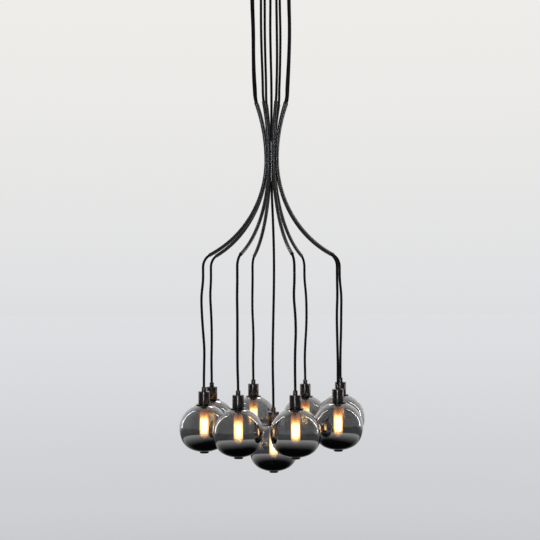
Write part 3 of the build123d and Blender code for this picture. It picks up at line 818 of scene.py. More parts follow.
def nut(
    outer: Sequence[float], bore: float, centre: Vector, low: float, high: float, name: str
) -> bpy.types.Mesh:
    """A nut with a round bore.

    Args:
        outer: its outside radius at each step round it.
        bore: the bore's radius.
        centre: where its heights count from.
        low: its lower face.
        high: its upper face.
        name: the mesh's name.

    Returns:
        The mesh.
    """
    form = bmesh.new()
    bores = [bore] * len(outer)
    rings = [ring_of(form, centre, radii, height) for height in (low, high) for radii in (bores, outer)]
    for first, second in ((0, 1), (1, 3), (3, 2), (2, 0)):
        bridge(form, rings[first], rings[second], len(outer))
    return closed(form, name)


def rounded(corners: Sequence[tuple[float, float, float]], steps: int = 5) -> list[Point2]:
    """Round the corners of a closed outline.

    Args:
        corners: (radius, height, rounding) of each corner, in order.
        steps: chords in each rounded corner.

    Returns:
        The outline's points.
    """
    points: list[Point2] = []
    count = len(corners)
    for i, (x, y, rounding) in enumerate(corners):
        here = Vector((x, y))
        if rounding <= 0:
            points.append((x, y))
            continue
        before = (Vector(corners[i - 1][:2]) - here).normalized()
        after = (Vector(corners[(i + 1) % count][:2]) - here).normalized()
        half = before.angle(after) / 2
        reach = rounding / math.tan(half)
        centre = here + (before + after).normalized() * (rounding / math.sin(half))
        first, last = here + before * reach - centre, here + after * reach - centre
        for step in range(steps + 1):
            share = step / steps
            arm = (first * (1 - share) + last * share).normalized() * rounding
            points.append((centre.x + arm.x, centre.y + arm.y))
    return points


def lathe(
    outline: Sequence[Point2], centre: Vector, segments: int, depth: Optional[Point2] = None
) -> bpy.types.Mesh:
    """Spin a closed outline into a closed shell.

    Args:
        outline: (radius, height) of each point, in order round the section.
        centre: the axis's foot, where the heights count from.
        segments: faces round the axis.
        depth: heights where the depth value is 0 and 1, to store it on each vertex.

    Returns:
        The mesh, with its faces outwards.
    """
    form = bmesh.new()
    rings = []
    for radius, height in outline:
        count = 1 if radius < 1e-7 else segments
        rings.append(ring_of(form, centre, [0.0 if count == 1 else radius] * count, height))
    for first, second in zip(rings, rings[1:] + rings[:1]):
        if len(first) > 1 or len(second) > 1:
            bridge(form, first, second, segments)
    mesh = closed(form, "turned")
    if depth is not None:
        store_depth(mesh, centre.z, depth)
    return mesh


def store_depth(mesh: bpy.types.Mesh, foot: float, depth: Point2) -> None:
    """Store how far down each vertex is.

    Args:
        mesh: the mesh to store it on.
        foot: where the heights count from.
        depth: the heights where the depth is 0 and 1.
    """
    values = [(vertex.co.z - foot - depth[0]) / (depth[1] - depth[0]) for vertex in mesh.vertices]
    layer = mesh.attributes.new("depth", "FLOAT", "POINT")
    layer.data.foreach_set("value", values)


def joined(meshes: Iterable[bpy.types.Mesh], name: str) -> bpy.types.Mesh:
    """Join meshes, each with its own materials, into one.

    Args:
        meshes: the meshes.
        name: the new mesh's name.

    Returns:
        The joined mesh.
    """
    form = bmesh.new()
    result = bpy.data.meshes.new(name)
    for mesh in meshes:
        for material in mesh.materials:
            if material.name not in result.materials:
                result.materials.append(material)
        start = len(form.faces)
        form.from_mesh(mesh)
        form.faces.ensure_lookup_table()
        for face in form.faces[start:]:
            if mesh.materials:
                material = mesh.materials[min(face.material_index, len(mesh.materials) - 1)]
                face.material_index = list(result.materials).index(material)
    form.to_mesh(result)
    form.free()
    return result


def dressed(mesh: bpy.types.Mesh, material: bpy.types.Material, sharp: float = 32.0) -> bpy.types.Mesh:
    """Give a mesh its material, and smooth shading with sharp edges.

    Args:
        mesh: the mesh.
        material: its material.
        sharp: the fold in degrees past which an edge is sharp.

    Returns:
        The same mesh.
    """
    mesh.materials.clear()
    mesh.materials.append(material)
    mesh.shade_smooth()
    mesh.set_sharp_from_angle(angle=math.radians(sharp))
    return mesh


def place_piece(
    mesh: bpy.types.Mesh, name: str, body: Optional[str], nodes: Sequence[str] = ()
) -> bpy.types.Object:
    """Put a finished mesh in the scene as a piece.

    Args:
        mesh: the finished mesh, in the frame's place.
        name: the piece's name.
        body: the body it rides on, or None where it bends between two.
        nodes: the construction nodes that it stands for.

    Returns:
        The piece.
    """
    mesh.name = name
    piece = link(name, mesh)
    if body is not None:
        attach(piece, body)
    if nodes:
        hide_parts(*nodes)
    log.info("%s: %d vertices", name, len(mesh.vertices))
    return piece


def baked(tree: bpy.types.NodeTree, values: dict, extra: Sequence[tuple] = ()) -> bpy.types.Mesh:
    """Run a geometry tree once and keep its result as a plain mesh.

    Args:
        tree: the geometry tree.
        values: input name to value.
        extra: (modifier type, settings) that follow the tree.

    Returns:
        The mesh.
    """
    carrier = link("carrier", bpy.data.meshes.new("carrier"))
    modifier = carrier.modifiers.new("form", "NODES")
    modifier.node_group = tree
    names = {item.name: item.identifier for item in tree.interface.items_tree if item.in_out == "INPUT"}
    for name, value in values.items():
        modifier[names[name]] = value
    for kind, settings in extra:
        follower = carrier.modifiers.new(kind.lower(), kind)
        for name, value in settings.items():
            setattr(follower, name, value)
    return evaluated(carrier)


# ------------------------------------------------------------------ arms and hub
@dataclass
class ArmBundle:
    """Eight bent tubes round a short hub, with a bush in every end."""

    finishes: FinishBook
    waist_height: float = -0.670
    waist_radius: float = 0.0207
    upper_bend: float = 0.570
    upper_angle: float = 19.2
    lower_bend: float = 0.380026
    lower_angle: float = 61.3
    end_length: float = 0.010
    tube_radius: float = 0.00635
    tube_wall: float = 0.0011
    bush_bore: float = 0.00475
    bush_spigot: float = 0.00515
    bush_collar: float = 0.005
    bush_depth: float = 0.007

    def tree(self) -> bpy.types.NodeTree:
        """The tree that lays one arm's line by rule, sweeps a tube along it and turns it to its place."""
        tree, sheet, source, result = new_group(
            "bent_arm",
            "GeometryNodeTree",
            [
                ("Turn", "Float", 0.0),
                ("Waist Height", "Float", self.waist_height),
                ("Waist Radius", "Float", self.waist_radius),
                ("Upper Bend", "Float", self.upper_bend),
                ("Upper Angle", "Float", math.radians(self.upper_angle)),
                ("Lower Bend", "Float", self.lower_bend),
                ("Lower Angle", "Float", math.radians(self.lower_angle)),
                ("End Length", "Float", self.end_length),
                ("Tube Radius", "Float", self.tube_radius),
                ("Steps", "Int", 180),
                ("Finish", "Material", None),
            ],
            [("Geometry", "Geometry")],
        )
        get = source.outputs
        upper_run = sheet.math("MULTIPLY_ADD", get["Upper Bend"], get["Upper Angle"], get["End Length"])
        lower_run = sheet.math("MULTIPLY_ADD", get["Lower Bend"], get["Lower Angle"], get["End Length"])
        index = sheet.add("GeometryNodeInputIndex").outputs[0]
        share = sheet.math("DIVIDE", index, sheet.math("SUBTRACT", get["Steps"], 1.0))
        whole_run = sheet.math("ADD", upper_run, lower_run)
        along = sheet.math("SUBTRACT", upper_run, sheet.math("MULTIPLY", share, whole_run))
        above = sheet.math("GREATER_THAN", along, 0.0)

        def either(lower: Value, upper: Value) -> bpy.types.NodeSocket:
            """The lower value below the waist and the upper one above it."""
            return sheet.math("MULTIPLY_ADD", above, sheet.math("SUBTRACT", upper, lower), lower)

        bend = either(get["Lower Bend"], get["Upper Bend"])
        limit = either(get["Lower Angle"], get["Upper Angle"])
        reach = sheet.math("ABSOLUTE", along)
        angle = sheet.math("MINIMUM", sheet.math("DIVIDE", reach, bend), limit)
        rest = sheet.math("SUBTRACT", reach, sheet.math("MULTIPLY", bend, angle))
        cosine, sine = sheet.math("COSINE", angle), sheet.math("SINE", angle)
        out = sheet.math("MULTIPLY", bend, sheet.math("SUBTRACT", 1.0, cosine))
        out = sheet.math("ADD", sheet.math("MULTIPLY_ADD", rest, sine, out), get["Waist Radius"])
        rise = sheet.math("MULTIPLY_ADD", rest, cosine, sheet.math("MULTIPLY", bend, sine))
        sign = sheet.math("MULTIPLY_ADD", above, 2.0, -1.0)
        height = sheet.math("MULTIPLY_ADD", rise, sign, get["Waist Height"])
        spot = sheet.vector({0: out, 2: height})
        line = sheet.add("GeometryNodeMeshLine", {"Count": get["Steps"]})
        curve = sheet.add("GeometryNodeMeshToCurve", {"Mesh": line.outputs[0]})
        laid = sheet.add("GeometryNodeSetPosition", {"Geometry": curve.outputs[0], "Position": spot})
        circle = {"Resolution": 28, "Radius": get["Tube Radius"]}
        ring = sheet.add("GeometryNodeCurvePrimitiveCircle", circle).outputs[0]
        tube = sheet.add("GeometryNodeCurveToMesh", {"Curve": laid.outputs[0], "Profile Curve": ring})
        turn = {"Geometry": tube.outputs[0], "Rotation": sheet.vector({2: get["Turn"]})}
        turned = sheet.add("GeometryNodeTransform", turn)
        sheet.close(result, turned.outputs[0], get["Finish"])
        return tree

    def ends(self) -> list[tuple[Point2, Point2]]:
        """The (radius, height) of each end of an arm and the direction out of it, top end first."""
        found = []
        bends = ((self.upper_bend, self.upper_angle, 1), (self.lower_bend, self.lower_angle, -1))
        for bend, angle, sign in bends:
            turn = math.radians(angle)
            out = self.waist_radius + bend * (1 - math.cos(turn)) + self.end_length * math.sin(turn)
            rise = bend * math.sin(turn) + self.end_length * math.cos(turn)
            found.append(((out, self.waist_height + sign * rise), (math.sin(turn), sign * math.cos(turn))))
        return found

    def build_bushes(self) -> None:
        """Build the sixteen bushes, a collar on each tube end and a spigot inside it."""
        radius = self.tube_radius
        section = rounded(
            [
                (self.bush_bore, -self.bush_depth, 0),
                (self.bush_spigot, -self.bush_depth, 0),
                (self.bush_spigot, 0, 0),
                (radius, 0, 0),
                (radius, self.bush_collar, 0.001),
                (self.bush_bore, self.bush_collar, 0.0004),
            ]
        )
        meshes = []
        for (out, height), (lean, lift) in self.ends():
            for angle in ARM_ANGLES:
                mesh = lathe(section, Vector(), 40)
                tilt = Vector((lean, 0, lift)).to_track_quat("Z", "Y").to_matrix().to_4x4()
                turn = Matrix.Rotation(math.radians(angle), 4, "Z")
                mesh.transform(turn @ Matrix.Translation((out, 0, height)) @ tilt)
                meshes.append(dressed(mesh, self.finishes["black_rubber"]))
        place_piece(joined(meshes, "bushes"), "arm_end_bushes", ROOT_BODY, ["arm_bushes"])

    def build(self) -> None:
        """Build the arms, their bushes and the hub's finish."""
        tree = self.tree()
        wall = ("SOLIDIFY", {"thickness": self.tube_wall, "offset": -1.0, "use_even_offset": True})
        for key, angle in zip(KEYS, ARM_ANGLES):
            values = {"Turn": math.radians(angle), "Finish": self.finishes["satin_black_bronze"]}
            mesh = dressed(baked(tree, values, [wall]), self.finishes["satin_black_bronze"])
            place_piece(mesh, f"bent_arm_{key}", ROOT_BODY, [f"arm_{key}"])
        self.build_bushes()
        paint_node("hub_tube", self.finishes["satin_black_bronze"])


def paint_node(node: str, material: bpy.types.Material) -> None:
    """Give a construction node that stays its finish."""
    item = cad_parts[node]
    for spot in item.material_slots:
        spot.material = material
    log.info("%s: finished as %s", node, material.name)


# ------------------------------------------------------------------ ceiling end
@dataclass
class CeilingEnd:
    """The canopy dish with its grips, and the hidden crossbar, screws and terminal block."""

    finishes: FinishBook
    radius: float = 0.100
    height: float = 0.045
    wall: float = 0.0018
    edge: float = 0.009
    cord_circle: float = 0.071
    grip_hole: float = 0.0061
    screw_places: float = 0.068
    screw_hole: float = 0.0023
    segments: int = 128

    def hole_circles(self) -> list[tuple[float, float, float]]:
        """(x, y, radius) of every hole in the bottom."""
        holes = [(0.0, 0.0, self.grip_hole)]
        for angle in ARM_ANGLES:
            turn = math.radians(angle)
            x, y = self.cord_circle * math.cos(turn), self.cord_circle * math.sin(turn)
            holes.append((x, y, self.grip_hole))
        holes += [(side * self.screw_places, 0.0, self.screw_hole) for side in (-1, 1)]
        return holes

    @staticmethod
    def circle(form: bmesh.types.BMesh, spot: tuple, count: int, height: float) -> list:
        """Add a level circle of vertices.

        Args:
            form: the form to add them to.
            spot: the circle's x, y and radius.
            count: how many vertices.
            height: the circle's height.

        Returns:
            The vertices.
        """
        x, y, radius = spot
        turns = [math.tau * i / count for i in range(count)]
        return [form.verts.new((x + radius * math.cos(t), y + radius * math.sin(t), height)) for t in turns]

    def build_canopy(self) -> None:
        """Build the dish: a holed bottom, a rounded edge and an upright side, with a real wall."""
        form = bmesh.new()
        flat_radius = self.radius - self.edge
        border = self.circle(form, (0.0, 0.0, flat_radius), self.segments, -self.height)
        edges = [form.edges.new((a, b)) for a, b in zip(border, border[1:] + border[:1])]
        for hole in self.hole_circles():
            ring = self.circle(form, hole, 32, -self.height)
            edges += [form.edges.new((a, b)) for a, b in zip(ring, ring[1:] + ring[:1])]
        bmesh.ops.triangle_fill(form, use_beauty=True, edges=edges, normal=(0, 0, -1))
        ring = border
        steps = 8
        heights = []
        for step in range(1, steps + 1):
            turn = math.pi / 2 * step / steps
            radius = flat_radius + self.edge * math.sin(turn)
            heights.append((radius, -self.height + self.edge * (1 - math.cos(turn))))
        heights.append((self.radius, 0.0))
        for radius, height in heights:
            upper = self.circle(form, (0.0, 0.0, radius), self.segments, height)
            bridge(form, ring, upper, self.segments)
            ring = upper
        bmesh.ops.recalc_face_normals(form, faces=form.faces)
        form.faces.ensure_lookup_table()
        low = min(form.faces, key=lambda face: face.calc_center_median().z)
        if low.normal.z > 0:
            bmesh.ops.reverse_faces(form, faces=form.faces)
        bmesh.ops.solidify(form, geom=form.faces[:], thickness=self.wall)
        mesh = bpy.data.meshes.new("canopy_dish")
        form.to_mesh(mesh)
        form.free()
        dressed(mesh, self.finishes["satin_black_canopy"])
        place_piece(mesh, "canopy_dish", ROOT_BODY, ["canopy"])

    def grip_tree(self) -> bpy.types.NodeTree:
        """The tree that stands one grip at each cord place."""
        tree, sheet, source, result = new_group(
            "grips_on_circle",
            "GeometryNodeTree",
            [
                ("Grip", "Object", None),
                ("Count", "Int", 8),
                ("Circle Radius", "Float", self.cord_circle),
                ("First Turn", "Float", math.radians(ARM_ANGLES[0])),
                ("Height", "Float", -self.height),
                ("Finish", "Material", None),
            ],
            [("Geometry", "Geometry")],
        )
        get = source.outputs
        ring = sheet.add("GeometryNodeMeshCircle", {"Vertices": get["Count"], "Radius": get["Circle Radius"]})
        turn = {"Geometry": ring.outputs[0], "Rotation": sheet.vector({2: get["First Turn"]})}
        turned = sheet.add("GeometryNodeTransform", turn)
        middle = sheet.add("GeometryNodeMeshLine", {"Count": 1})
        both = sheet.add("GeometryNodeJoinGeometry")
        sheet.put(both.inputs[0], turned.outputs[0])
        sheet.put(both.inputs[0], middle.outputs[0])
        lift = {"Geometry": both.outputs[0], "Translation": sheet.vector({2: get["Height"]})}
        raised = sheet.add("GeometryNodeTransform", lift).outputs[0]
        grip = sheet.add("GeometryNodeObjectInfo", {"Object": get["Grip"], "As Instance": True})
        standing = {"Points": raised, "Instance": grip.outputs["Geometry"]}
        stand = sheet.add("GeometryNodeInstanceOnPoints", standing)
        sheet.close(result, stand.outputs[0], get["Finish"])
        return tree

    def build_grips(self) -> None:
        """Build the nine grips with their locknuts."""
        bore, thread, collar = 0.00475, 0.006, 0.009
        section = [
            (bore, 0.009, 0),
            (thread, 0.009, 0.0005),
            (thread, 0.0, 0),
            (collar, 0.0, 0.0004),
            (collar, -0.005, 0.0008),
            (0.008, -0.005, 0),
            (0.006, -0.017, 0.0006),
            (bore, -0.017, 0),
        ]
        grip = lathe(rounded(section), Vector(), 48)
        half_flats, steps, side = 0.0085, 48, math.pi / 3
        turns = [(math.tau * i / steps + side / 2) % side - side / 2 for i in range(steps)]
        flats = [half_flats / math.cos(turn) for turn in turns]
        locknut = nut(flats, thread + 0.00005, Vector(), self.wall, self.wall + 0.0035, "nut")
        source = link("one_grip", joined([grip, locknut], "one_grip"))
        black = self.finishes["black_nylon"]
        mesh = dressed(baked(self.grip_tree(), {"Grip": source, "Finish": black}), black)
        bpy.data.objects.remove(source)
        place_piece(mesh, "canopy_cord_grips", ROOT_BODY, ["cord_grips"])

    def build(self) -> None:
        """Build the ceiling end."""
        self.build_canopy()
        self.build_grips()
        paint_node("crossbar", self.finishes["zinc_plate"])
        paint_node("canopy_screws", self.finishes["bright_nickel"])
        paint_node("terminal_block", self.finishes["white_nylon"])


# ------------------------------------------------------------------ cords
# Cord routes: (out, height) in an arm's plane, (x, height) for the middle cord, and each cord's sway in X.
FEED_FREE = (
    (0.0710, -0.0280), (0.0710, -0.1100), (0.0686, -0.2050), (0.0673, -0.2950), (0.0653, -0.3700),
    (0.0630, -0.4180),
)
FEED_IN_ARM = (
    (0.0616, -0.4561), (0.0475, -0.4966), (0.0347, -0.5406), (0.0207, -0.6201), (0.0207, -0.7099),
    (0.0373, -0.7881), (0.0698, -0.8610), (0.1128, -0.9203), (0.1558, -0.9618), (0.1908, -0.9872),
    (0.2115, -0.9997), (0.2359, -1.0130), (0.2477, -1.0266), (0.2540, -1.0435), (0.2540, -1.0650),
)
FEED_SWAY = (
    (0.0, 0.0, 0.0040, 0.0026, 0.0012, 0.0006),
    (0.0, 0.0, 0.0030, 0.0022, 0.0009, -0.0005),
    (0.0, 0.0, -0.0014, -0.0006, 0.0008, 0.0003),
    (0.0, 0.0, 0.0008, -0.0012, -0.0007, 0.0005),
    (0.0, 0.0, 0.0016, 0.0006, -0.0010, -0.0008),
    (0.0, 0.0, -0.0018, -0.0010, 0.0006, 0.0004),
    (0.0, 0.0, 0.0015, 0.0024, 0.0018, 0.0007),
    (0.0, 0.0, 0.0050, 0.0034, 0.0006, -0.0009),
)
CENTRE_ROUTE = (
    (0.0, -0.0280), (0.0, -0.1050), (-0.0018, -0.2050), (-0.0006, -0.3000), (0.0012, -0.3900),
    (0.0010, -0.4750), (0.0, -0.5600), (0.0003, -0.6400), (0.0, -0.7100), (0.0, -0.7660),
    (0.0, -0.8000), (0.0024, -0.8600), (0.0046, -0.9300), (0.0060, -1.0100), (0.0056, -1.0950),
    (0.0036, -1.1800), (0.0012, -1.2650), (-0.0009, -1.3500), (-0.0012, -1.4300), (0.0, -1.4950),
    (0.0, -1.5710),
)
DROP_HEIGHTS = (-1.1000, -1.1550, -1.2150, -1.2750, -1.3350, -1.3950, -1.4460, -1.4905)
DROP_SWAY = (
    (0.0, 0.0059, 0.0047, 0.0039, 0.0017, 0.0005, 0.0, 0.0),
    (0.0, 0.0056, 0.0070, 0.0058, 0.0014, -0.0013, 0.0, 0.0),
    (0.0, -0.0014, -0.0018, 0.0010, 0.0017, -0.0006, 0.0, 0.0),
    (0.0, -0.0038, -0.0004, 0.0014, 0.0011, -0.0006, 0.0, 0.0),
    (0.0, -0.0073, -0.0055, -0.0018, 0.0028, 0.0015, 0.0, 0.0),
    (0.0, -0.0014, -0.0007, -0.0010, -0.0015, -0.0016, 0.0, 0.0),
    (0.0, -0.0032, 0.0022, 0.0036, 0.0006, -0.0005, 0.0, 0.0),
    (0.0, 0.0008, -0.0020, -0.0014, -0.0004, 0.0005, 0.0, 0.0),
)
RISE = (0.018, 0.0, 0.0, 0.0, 0.0, 0.0, 0.0, 0.009)


@dataclass
class Cord:
    """One pendant's whole cord, from its grip through its arm and down into its lampholder."""

    key: str
    finishes: FinishBook
    radius: float = 0.0045
    sides: int = 20
    ring_length: float = 1.557
    centre_length: float = 1.543

    def ring_point(self, out: float, height: float, sway: float) -> Vector:
        """A route point at a distance from the axis in this cord's plane, with its sway along X."""
        turn = math.radians(ARM_ANGLES[int(self.key) - 1])
        return Vector((out * math.cos(turn) + sway, out * math.sin(turn), height))

    def route(self) -> list[Vector]:
        """The route's points, which steer the cord's smooth line."""
        if self.key == "centre":
            return [Vector((x, 0.0, z)) for x, z in CENTRE_ROUTE]
        index = int(self.key) - 1
        stretches = {
            Part.FREE: [self.ring_point(out, z, sway) for (out, z), sway in zip(FEED_FREE, FEED_SWAY[index])],
            Part.IN_ARM: [self.ring_point(out, z, 0.0) for out, z in FEED_IN_ARM],
            Part.DROP: [],
        }
        raised = len(DROP_HEIGHTS) - 3
        for i, (height, sway) in enumerate(zip(DROP_HEIGHTS, DROP_SWAY[index])):
            lift = RISE[index] if i >= raised else 0.0
            stretches[Part.DROP].append(self.ring_point(0.254, height + lift, sway))
        return [point for part in Part for point in stretches[part]]

    def line(self) -> list[Vector]:
        """Points read from the route's NURBS spline."""
        curve = bpy.data.curves.new("route", "CURVE")
        curve.dimensions = "3D"
        spline = curve.splines.new("NURBS")
        route = self.route()
        spline.points.add(len(route) - 1)
        for point, place in zip(spline.points, route):
            point.co = (*place, 1.0)
        spline.order_u = 3
        spline.use_endpoint_u = True
        spline.resolution_u = 16
        mesh = evaluated(link("route", curve))
        points = [vertex.co.copy() for vertex in mesh.vertices]
        bpy.data.meshes.remove(mesh)
        return points

    def tube(self, line: Sequence[Vector]) -> bpy.types.Mesh:
        """Sweep a closed round tube along a line, with a UV map once round and along in metres.

        Args:
            line: the centre of each ring.

        Returns:
            The tube's mesh.
        """
        form = bmesh.new()
        layer = form.loops.layers.uv.new("cord")
        side = Vector((1, 0, 0))
        rings, lengths, length = [], [], 0.0
        for i, place in enumerate(line):
            ahead = (line[min(i + 1, len(line) - 1)] - line[max(i - 1, 0)]).normalized()
            side = (side - ahead * side.dot(ahead)).normalized()
            other = ahead.cross(side)
            if i:
                length += (place - line[i - 1]).length
            lengths.append(length)
            ring = []
            for j in range(self.sides):
                turn = math.tau * j / self.sides
                out = side * math.cos(turn) + other * math.sin(turn)
                ring.append(form.verts.new(place + out * self.radius))
            rings.append(ring)
        for i, (a, b) in enumerate(zip(rings, rings[1:])):
            for j in range(self.sides):
                k = (j + 1) % self.sides
                face = form.faces.new((a[j], a[k], b[k], b[j]))
                spots = ((j, i), (j + 1, i), (j + 1, i + 1), (j, i + 1))
                for loop, (around, ring_number) in zip(face.loops, spots):
                    loop[layer].uv = (around / self.sides, lengths[ring_number])
        form.faces.new(rings[0][::-1])
        form.faces.new(rings[-1])
        return closed(form, "cord")

    def build(self) -> None:
        line = self.line()
        mesh = dressed(self.tube(line), self.finishes["black_braid"])
        nodes = [f"feed_cord_{self.key}", f"drop_cord_{self.key}"]
        piece = place_piece(mesh, f"braided_cord_{self.key}", None, nodes)
        centre = self.key == "centre"
        pivot = self.route()[9 if centre else len(FEED_FREE) + len(FEED_IN_ARM) - 1]
        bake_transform(piece)


# ------------------------------------------------------------------ pendants
@dataclass
class Lampholder:
    """Cord cap, cup, gallery disc, socket sleeve and ring nut. Heights count from the top of the glass."""

    finishes: FinishBook
    disc_thickness: float = 0.0026
    cup_height: float = 0.045
    cap_height: float = 0.0154
    cup_radius: float = 0.020
    cup_wall: float = 0.0016
    cap_radius: float = 0.0082
    cord_bore: float = 0.00475
    sleeve_radius: float = 0.016
    nut_radius: float = 0.020
    nut_thickness: float = 0.003
    notches: int = 12
    notch_radius: float = 0.001

    def build(self, top: Vector, key: str) -> None:
        """Build one lampholder.

        Args:
            top: the middle of its glass's top.
            key: the pendant's key.
        """
        disc, cup_top = self.disc_thickness, self.disc_thickness + self.cup_height
        cap_top, roof = cup_top + self.cap_height, cup_top - self.cup_wall
        groove = cap_top - self.cap_height / 3
        cap = [
            (self.cord_bore, roof, 0),
            (0.0065, roof, 0),
            (0.0065, cup_top, 0),
            (self.cap_radius, cup_top, 0.0002),
            (self.cap_radius, groove - 0.0012, 0.0002),
            (self.cap_radius - 0.0005, groove - 0.0012, 0),
            (self.cap_radius - 0.0005, groove, 0),
            (self.cap_radius, groove, 0.0002),
            (self.cap_radius, cap_top, 0.0008),
            (self.cord_bore, cap_top, 0.0006),
        ]
        cup = [
            (0.0066, roof, 0),
            (self.cup_radius - self.cup_wall, roof, 0.0008),
            (self.cup_radius - self.cup_wall, disc, 0),
            (self.cup_radius, disc, 0.0004),
            (self.cup_radius, cup_top, 0.0012),
            (0.0066, cup_top, 0.0003),
        ]
        gallery = [
            (self.sleeve_radius + 0.0001, 0, 0),
            (0.0285, 0, 0.0008),
            (0.0285, disc, 0.0008),
            (self.sleeve_radius + 0.0001, disc, 0),
        ]
        sleeve = [
            (0, 0.0155, 0),
            (0.0133, 0.0155, 0.0006),
            (0.0133, -0.014, 0),
            (0.0144, -0.014, 0.0004),
            (self.sleeve_radius, -0.010, 0),
            (self.sleeve_radius, 0.034, 0.0006),
            (0, 0.034, 0),
        ]
        looks = (
            (cap, "dark_nickel", 64),
            (cup, "dark_nickel", 96),
            (gallery, "dark_nickel_disc", 96),
            (sleeve, "bright_nickel", 64),
        )
        meshes = []
        for section, look, count in looks:
            meshes.append(dressed(lathe(rounded(section, 3), top, count), self.finishes[look]))
        meshes.append(dressed(self.ring_nut(top), self.finishes["polished_nut"]))
        whole = joined(meshes, "holder")
        place_piece(whole, f"turned_lampholder_{key}", f"pendant_{key}", [f"lampholder_{key}"])

    def ring_nut(self, top: Vector) -> bpy.types.Mesh:
        """The nut inside the glass, with round notches for its key.

        Args:
            top: the middle of its glass's top.

        Returns:
            The mesh.
        """
        steps = 10
        pitch = math.tau / self.notches * self.nut_radius
        outer = []
        for i in range(self.notches * steps):
            swing = abs((i % steps) - steps / 2) / steps * pitch
            outer.append(self.nut_radius - math.sqrt(max(self.notch_radius**2 - swing**2, 0.0)))
        high = -0.003
        return nut(outer, self.sleeve_radius + 0.00005, top, high - self.nut_thickness, high, "ring_nut")


@dataclass
class Globe:
    """A blown globe with a ground mouth and a button. Heights count from the top of the glass."""

    finishes: FinishBook
    radius: float = 0.087
    wall: float = 0.0025
    mouth_radius: float = 0.017
    mouth_thickness: float = 0.003
    widest: float = 0.080
    dome_height: float = 0.0836
    dome_side: float = 0.078
    flank: float = 0.104
    base: float = 0.113
    base_angle: float = 25.0
    flank_angle: float = 25.0
    button_radius: float = 0.0155
    button_height: float = 0.0045
    button_edge: float = 0.0015

    def arcs(self, inset: float) -> list[tuple[Point2, float, float, float]]:
        """The outline's arcs from the mouth down: crown, side, flank, shoulder and base.

        Args:
            inset: how far inside the outer surface they lie.

        Returns:
            (centre, radius, first angle, turn) of each.
        """
        offset = self.radius - self.dome_side
        higher = 2 * (self.dome_height - self.dome_side)
        crown = (offset**2 + self.dome_height**2 - self.dome_side**2) / higher
        crown_centre = (0.0, self.dome_height - crown - self.widest)
        side_angle = math.degrees(math.atan2(-self.widest - crown_centre[1], offset))
        base_turn, flank_turn = math.radians(self.base_angle), math.radians(self.flank_angle)
        reach = self.radius - self.flank * (1 - math.cos(flank_turn)) - self.base * math.sin(base_turn)
        shoulder = reach / (math.cos(flank_turn) - math.sin(base_turn))
        rest = self.flank - shoulder
        flank_centre = (self.radius - self.flank, -self.widest)
        shoulder_centre = (
            flank_centre[0] + rest * math.cos(flank_turn),
            flank_centre[1] - rest * math.sin(flank_turn),
        )
        base_centre = (0.0, shoulder_centre[1] + (self.base - shoulder) * math.cos(base_turn))
        rim = crown_centre[1] + (self.mouth_thickness if inset else 0.0)
        crown_angle = math.degrees(math.asin(-rim / (crown - inset)))
        return [
            (crown_centre, crown - inset, crown_angle, side_angle - crown_angle),
            ((offset, -self.widest), self.dome_side - inset, side_angle, -side_angle),
            (flank_centre, self.flank - inset, 0.0, -self.flank_angle),
            (shoulder_centre, shoulder - inset, -self.flank_angle, self.flank_angle + self.base_angle - 90.0),
            (base_centre, self.base - inset, self.base_angle - 90.0, -self.base_angle),
        ]

    def outline(self, inset: float) -> list[Point2]:
        """Points of the outline, from the mouth to the axis.

        Args:
            inset: how far inside the outer surface they lie.

        Returns:
            (radius, height) of each.
        """
        points: list[Point2] = []
        for (x, y), radius, first, turn in self.arcs(inset):
            steps = max(3, round(abs(turn) / 2.6))
            for step in range(steps + 1):
                angle = math.radians(first + turn * step / steps)
                point = (max(x + radius * math.cos(angle), 0.0), y + radius * math.sin(angle))
                if not points or math.dist(points[-1], point) > 1e-6:
                    points.append(point)
        return points

    def build(self, top: Vector, key: str) -> None:
        """Build one globe.

        Args:
            top: the middle of its top.
            key: the pendant's key.
        """
        outer, inner = self.outline(0.0), self.outline(self.wall)
        bottom = outer[-1][1] - self.button_height
        sides = [point for point in outer if point[0] > self.button_radius + 0.0012]
        neck = (self.button_radius, outer[-1][1] + 0.0008)
        block = [
            (self.button_radius, bottom, self.button_edge),
            (0.0, bottom, 0.0),
            (0.0, bottom + 0.01, 0.0),
            (self.button_radius, bottom + 0.01, 0.0),
        ]
        button = rounded(block)[:7]
        inner[-1] = (0.0, inner[-1][1])
        section = [(self.mouth_radius, 0.0), *sides, neck, *button, *inner[::-1]]
        section.append((self.mouth_radius, -self.mouth_thickness))
        mesh = lathe(section, top, 128, (0.0, bottom))
        dressed(mesh, self.finishes["smoke_lustre_glass"], 40.0)
        place_piece(mesh, f"blown_globe_{key}", f"pendant_{key}", [f"globe_{key}"])


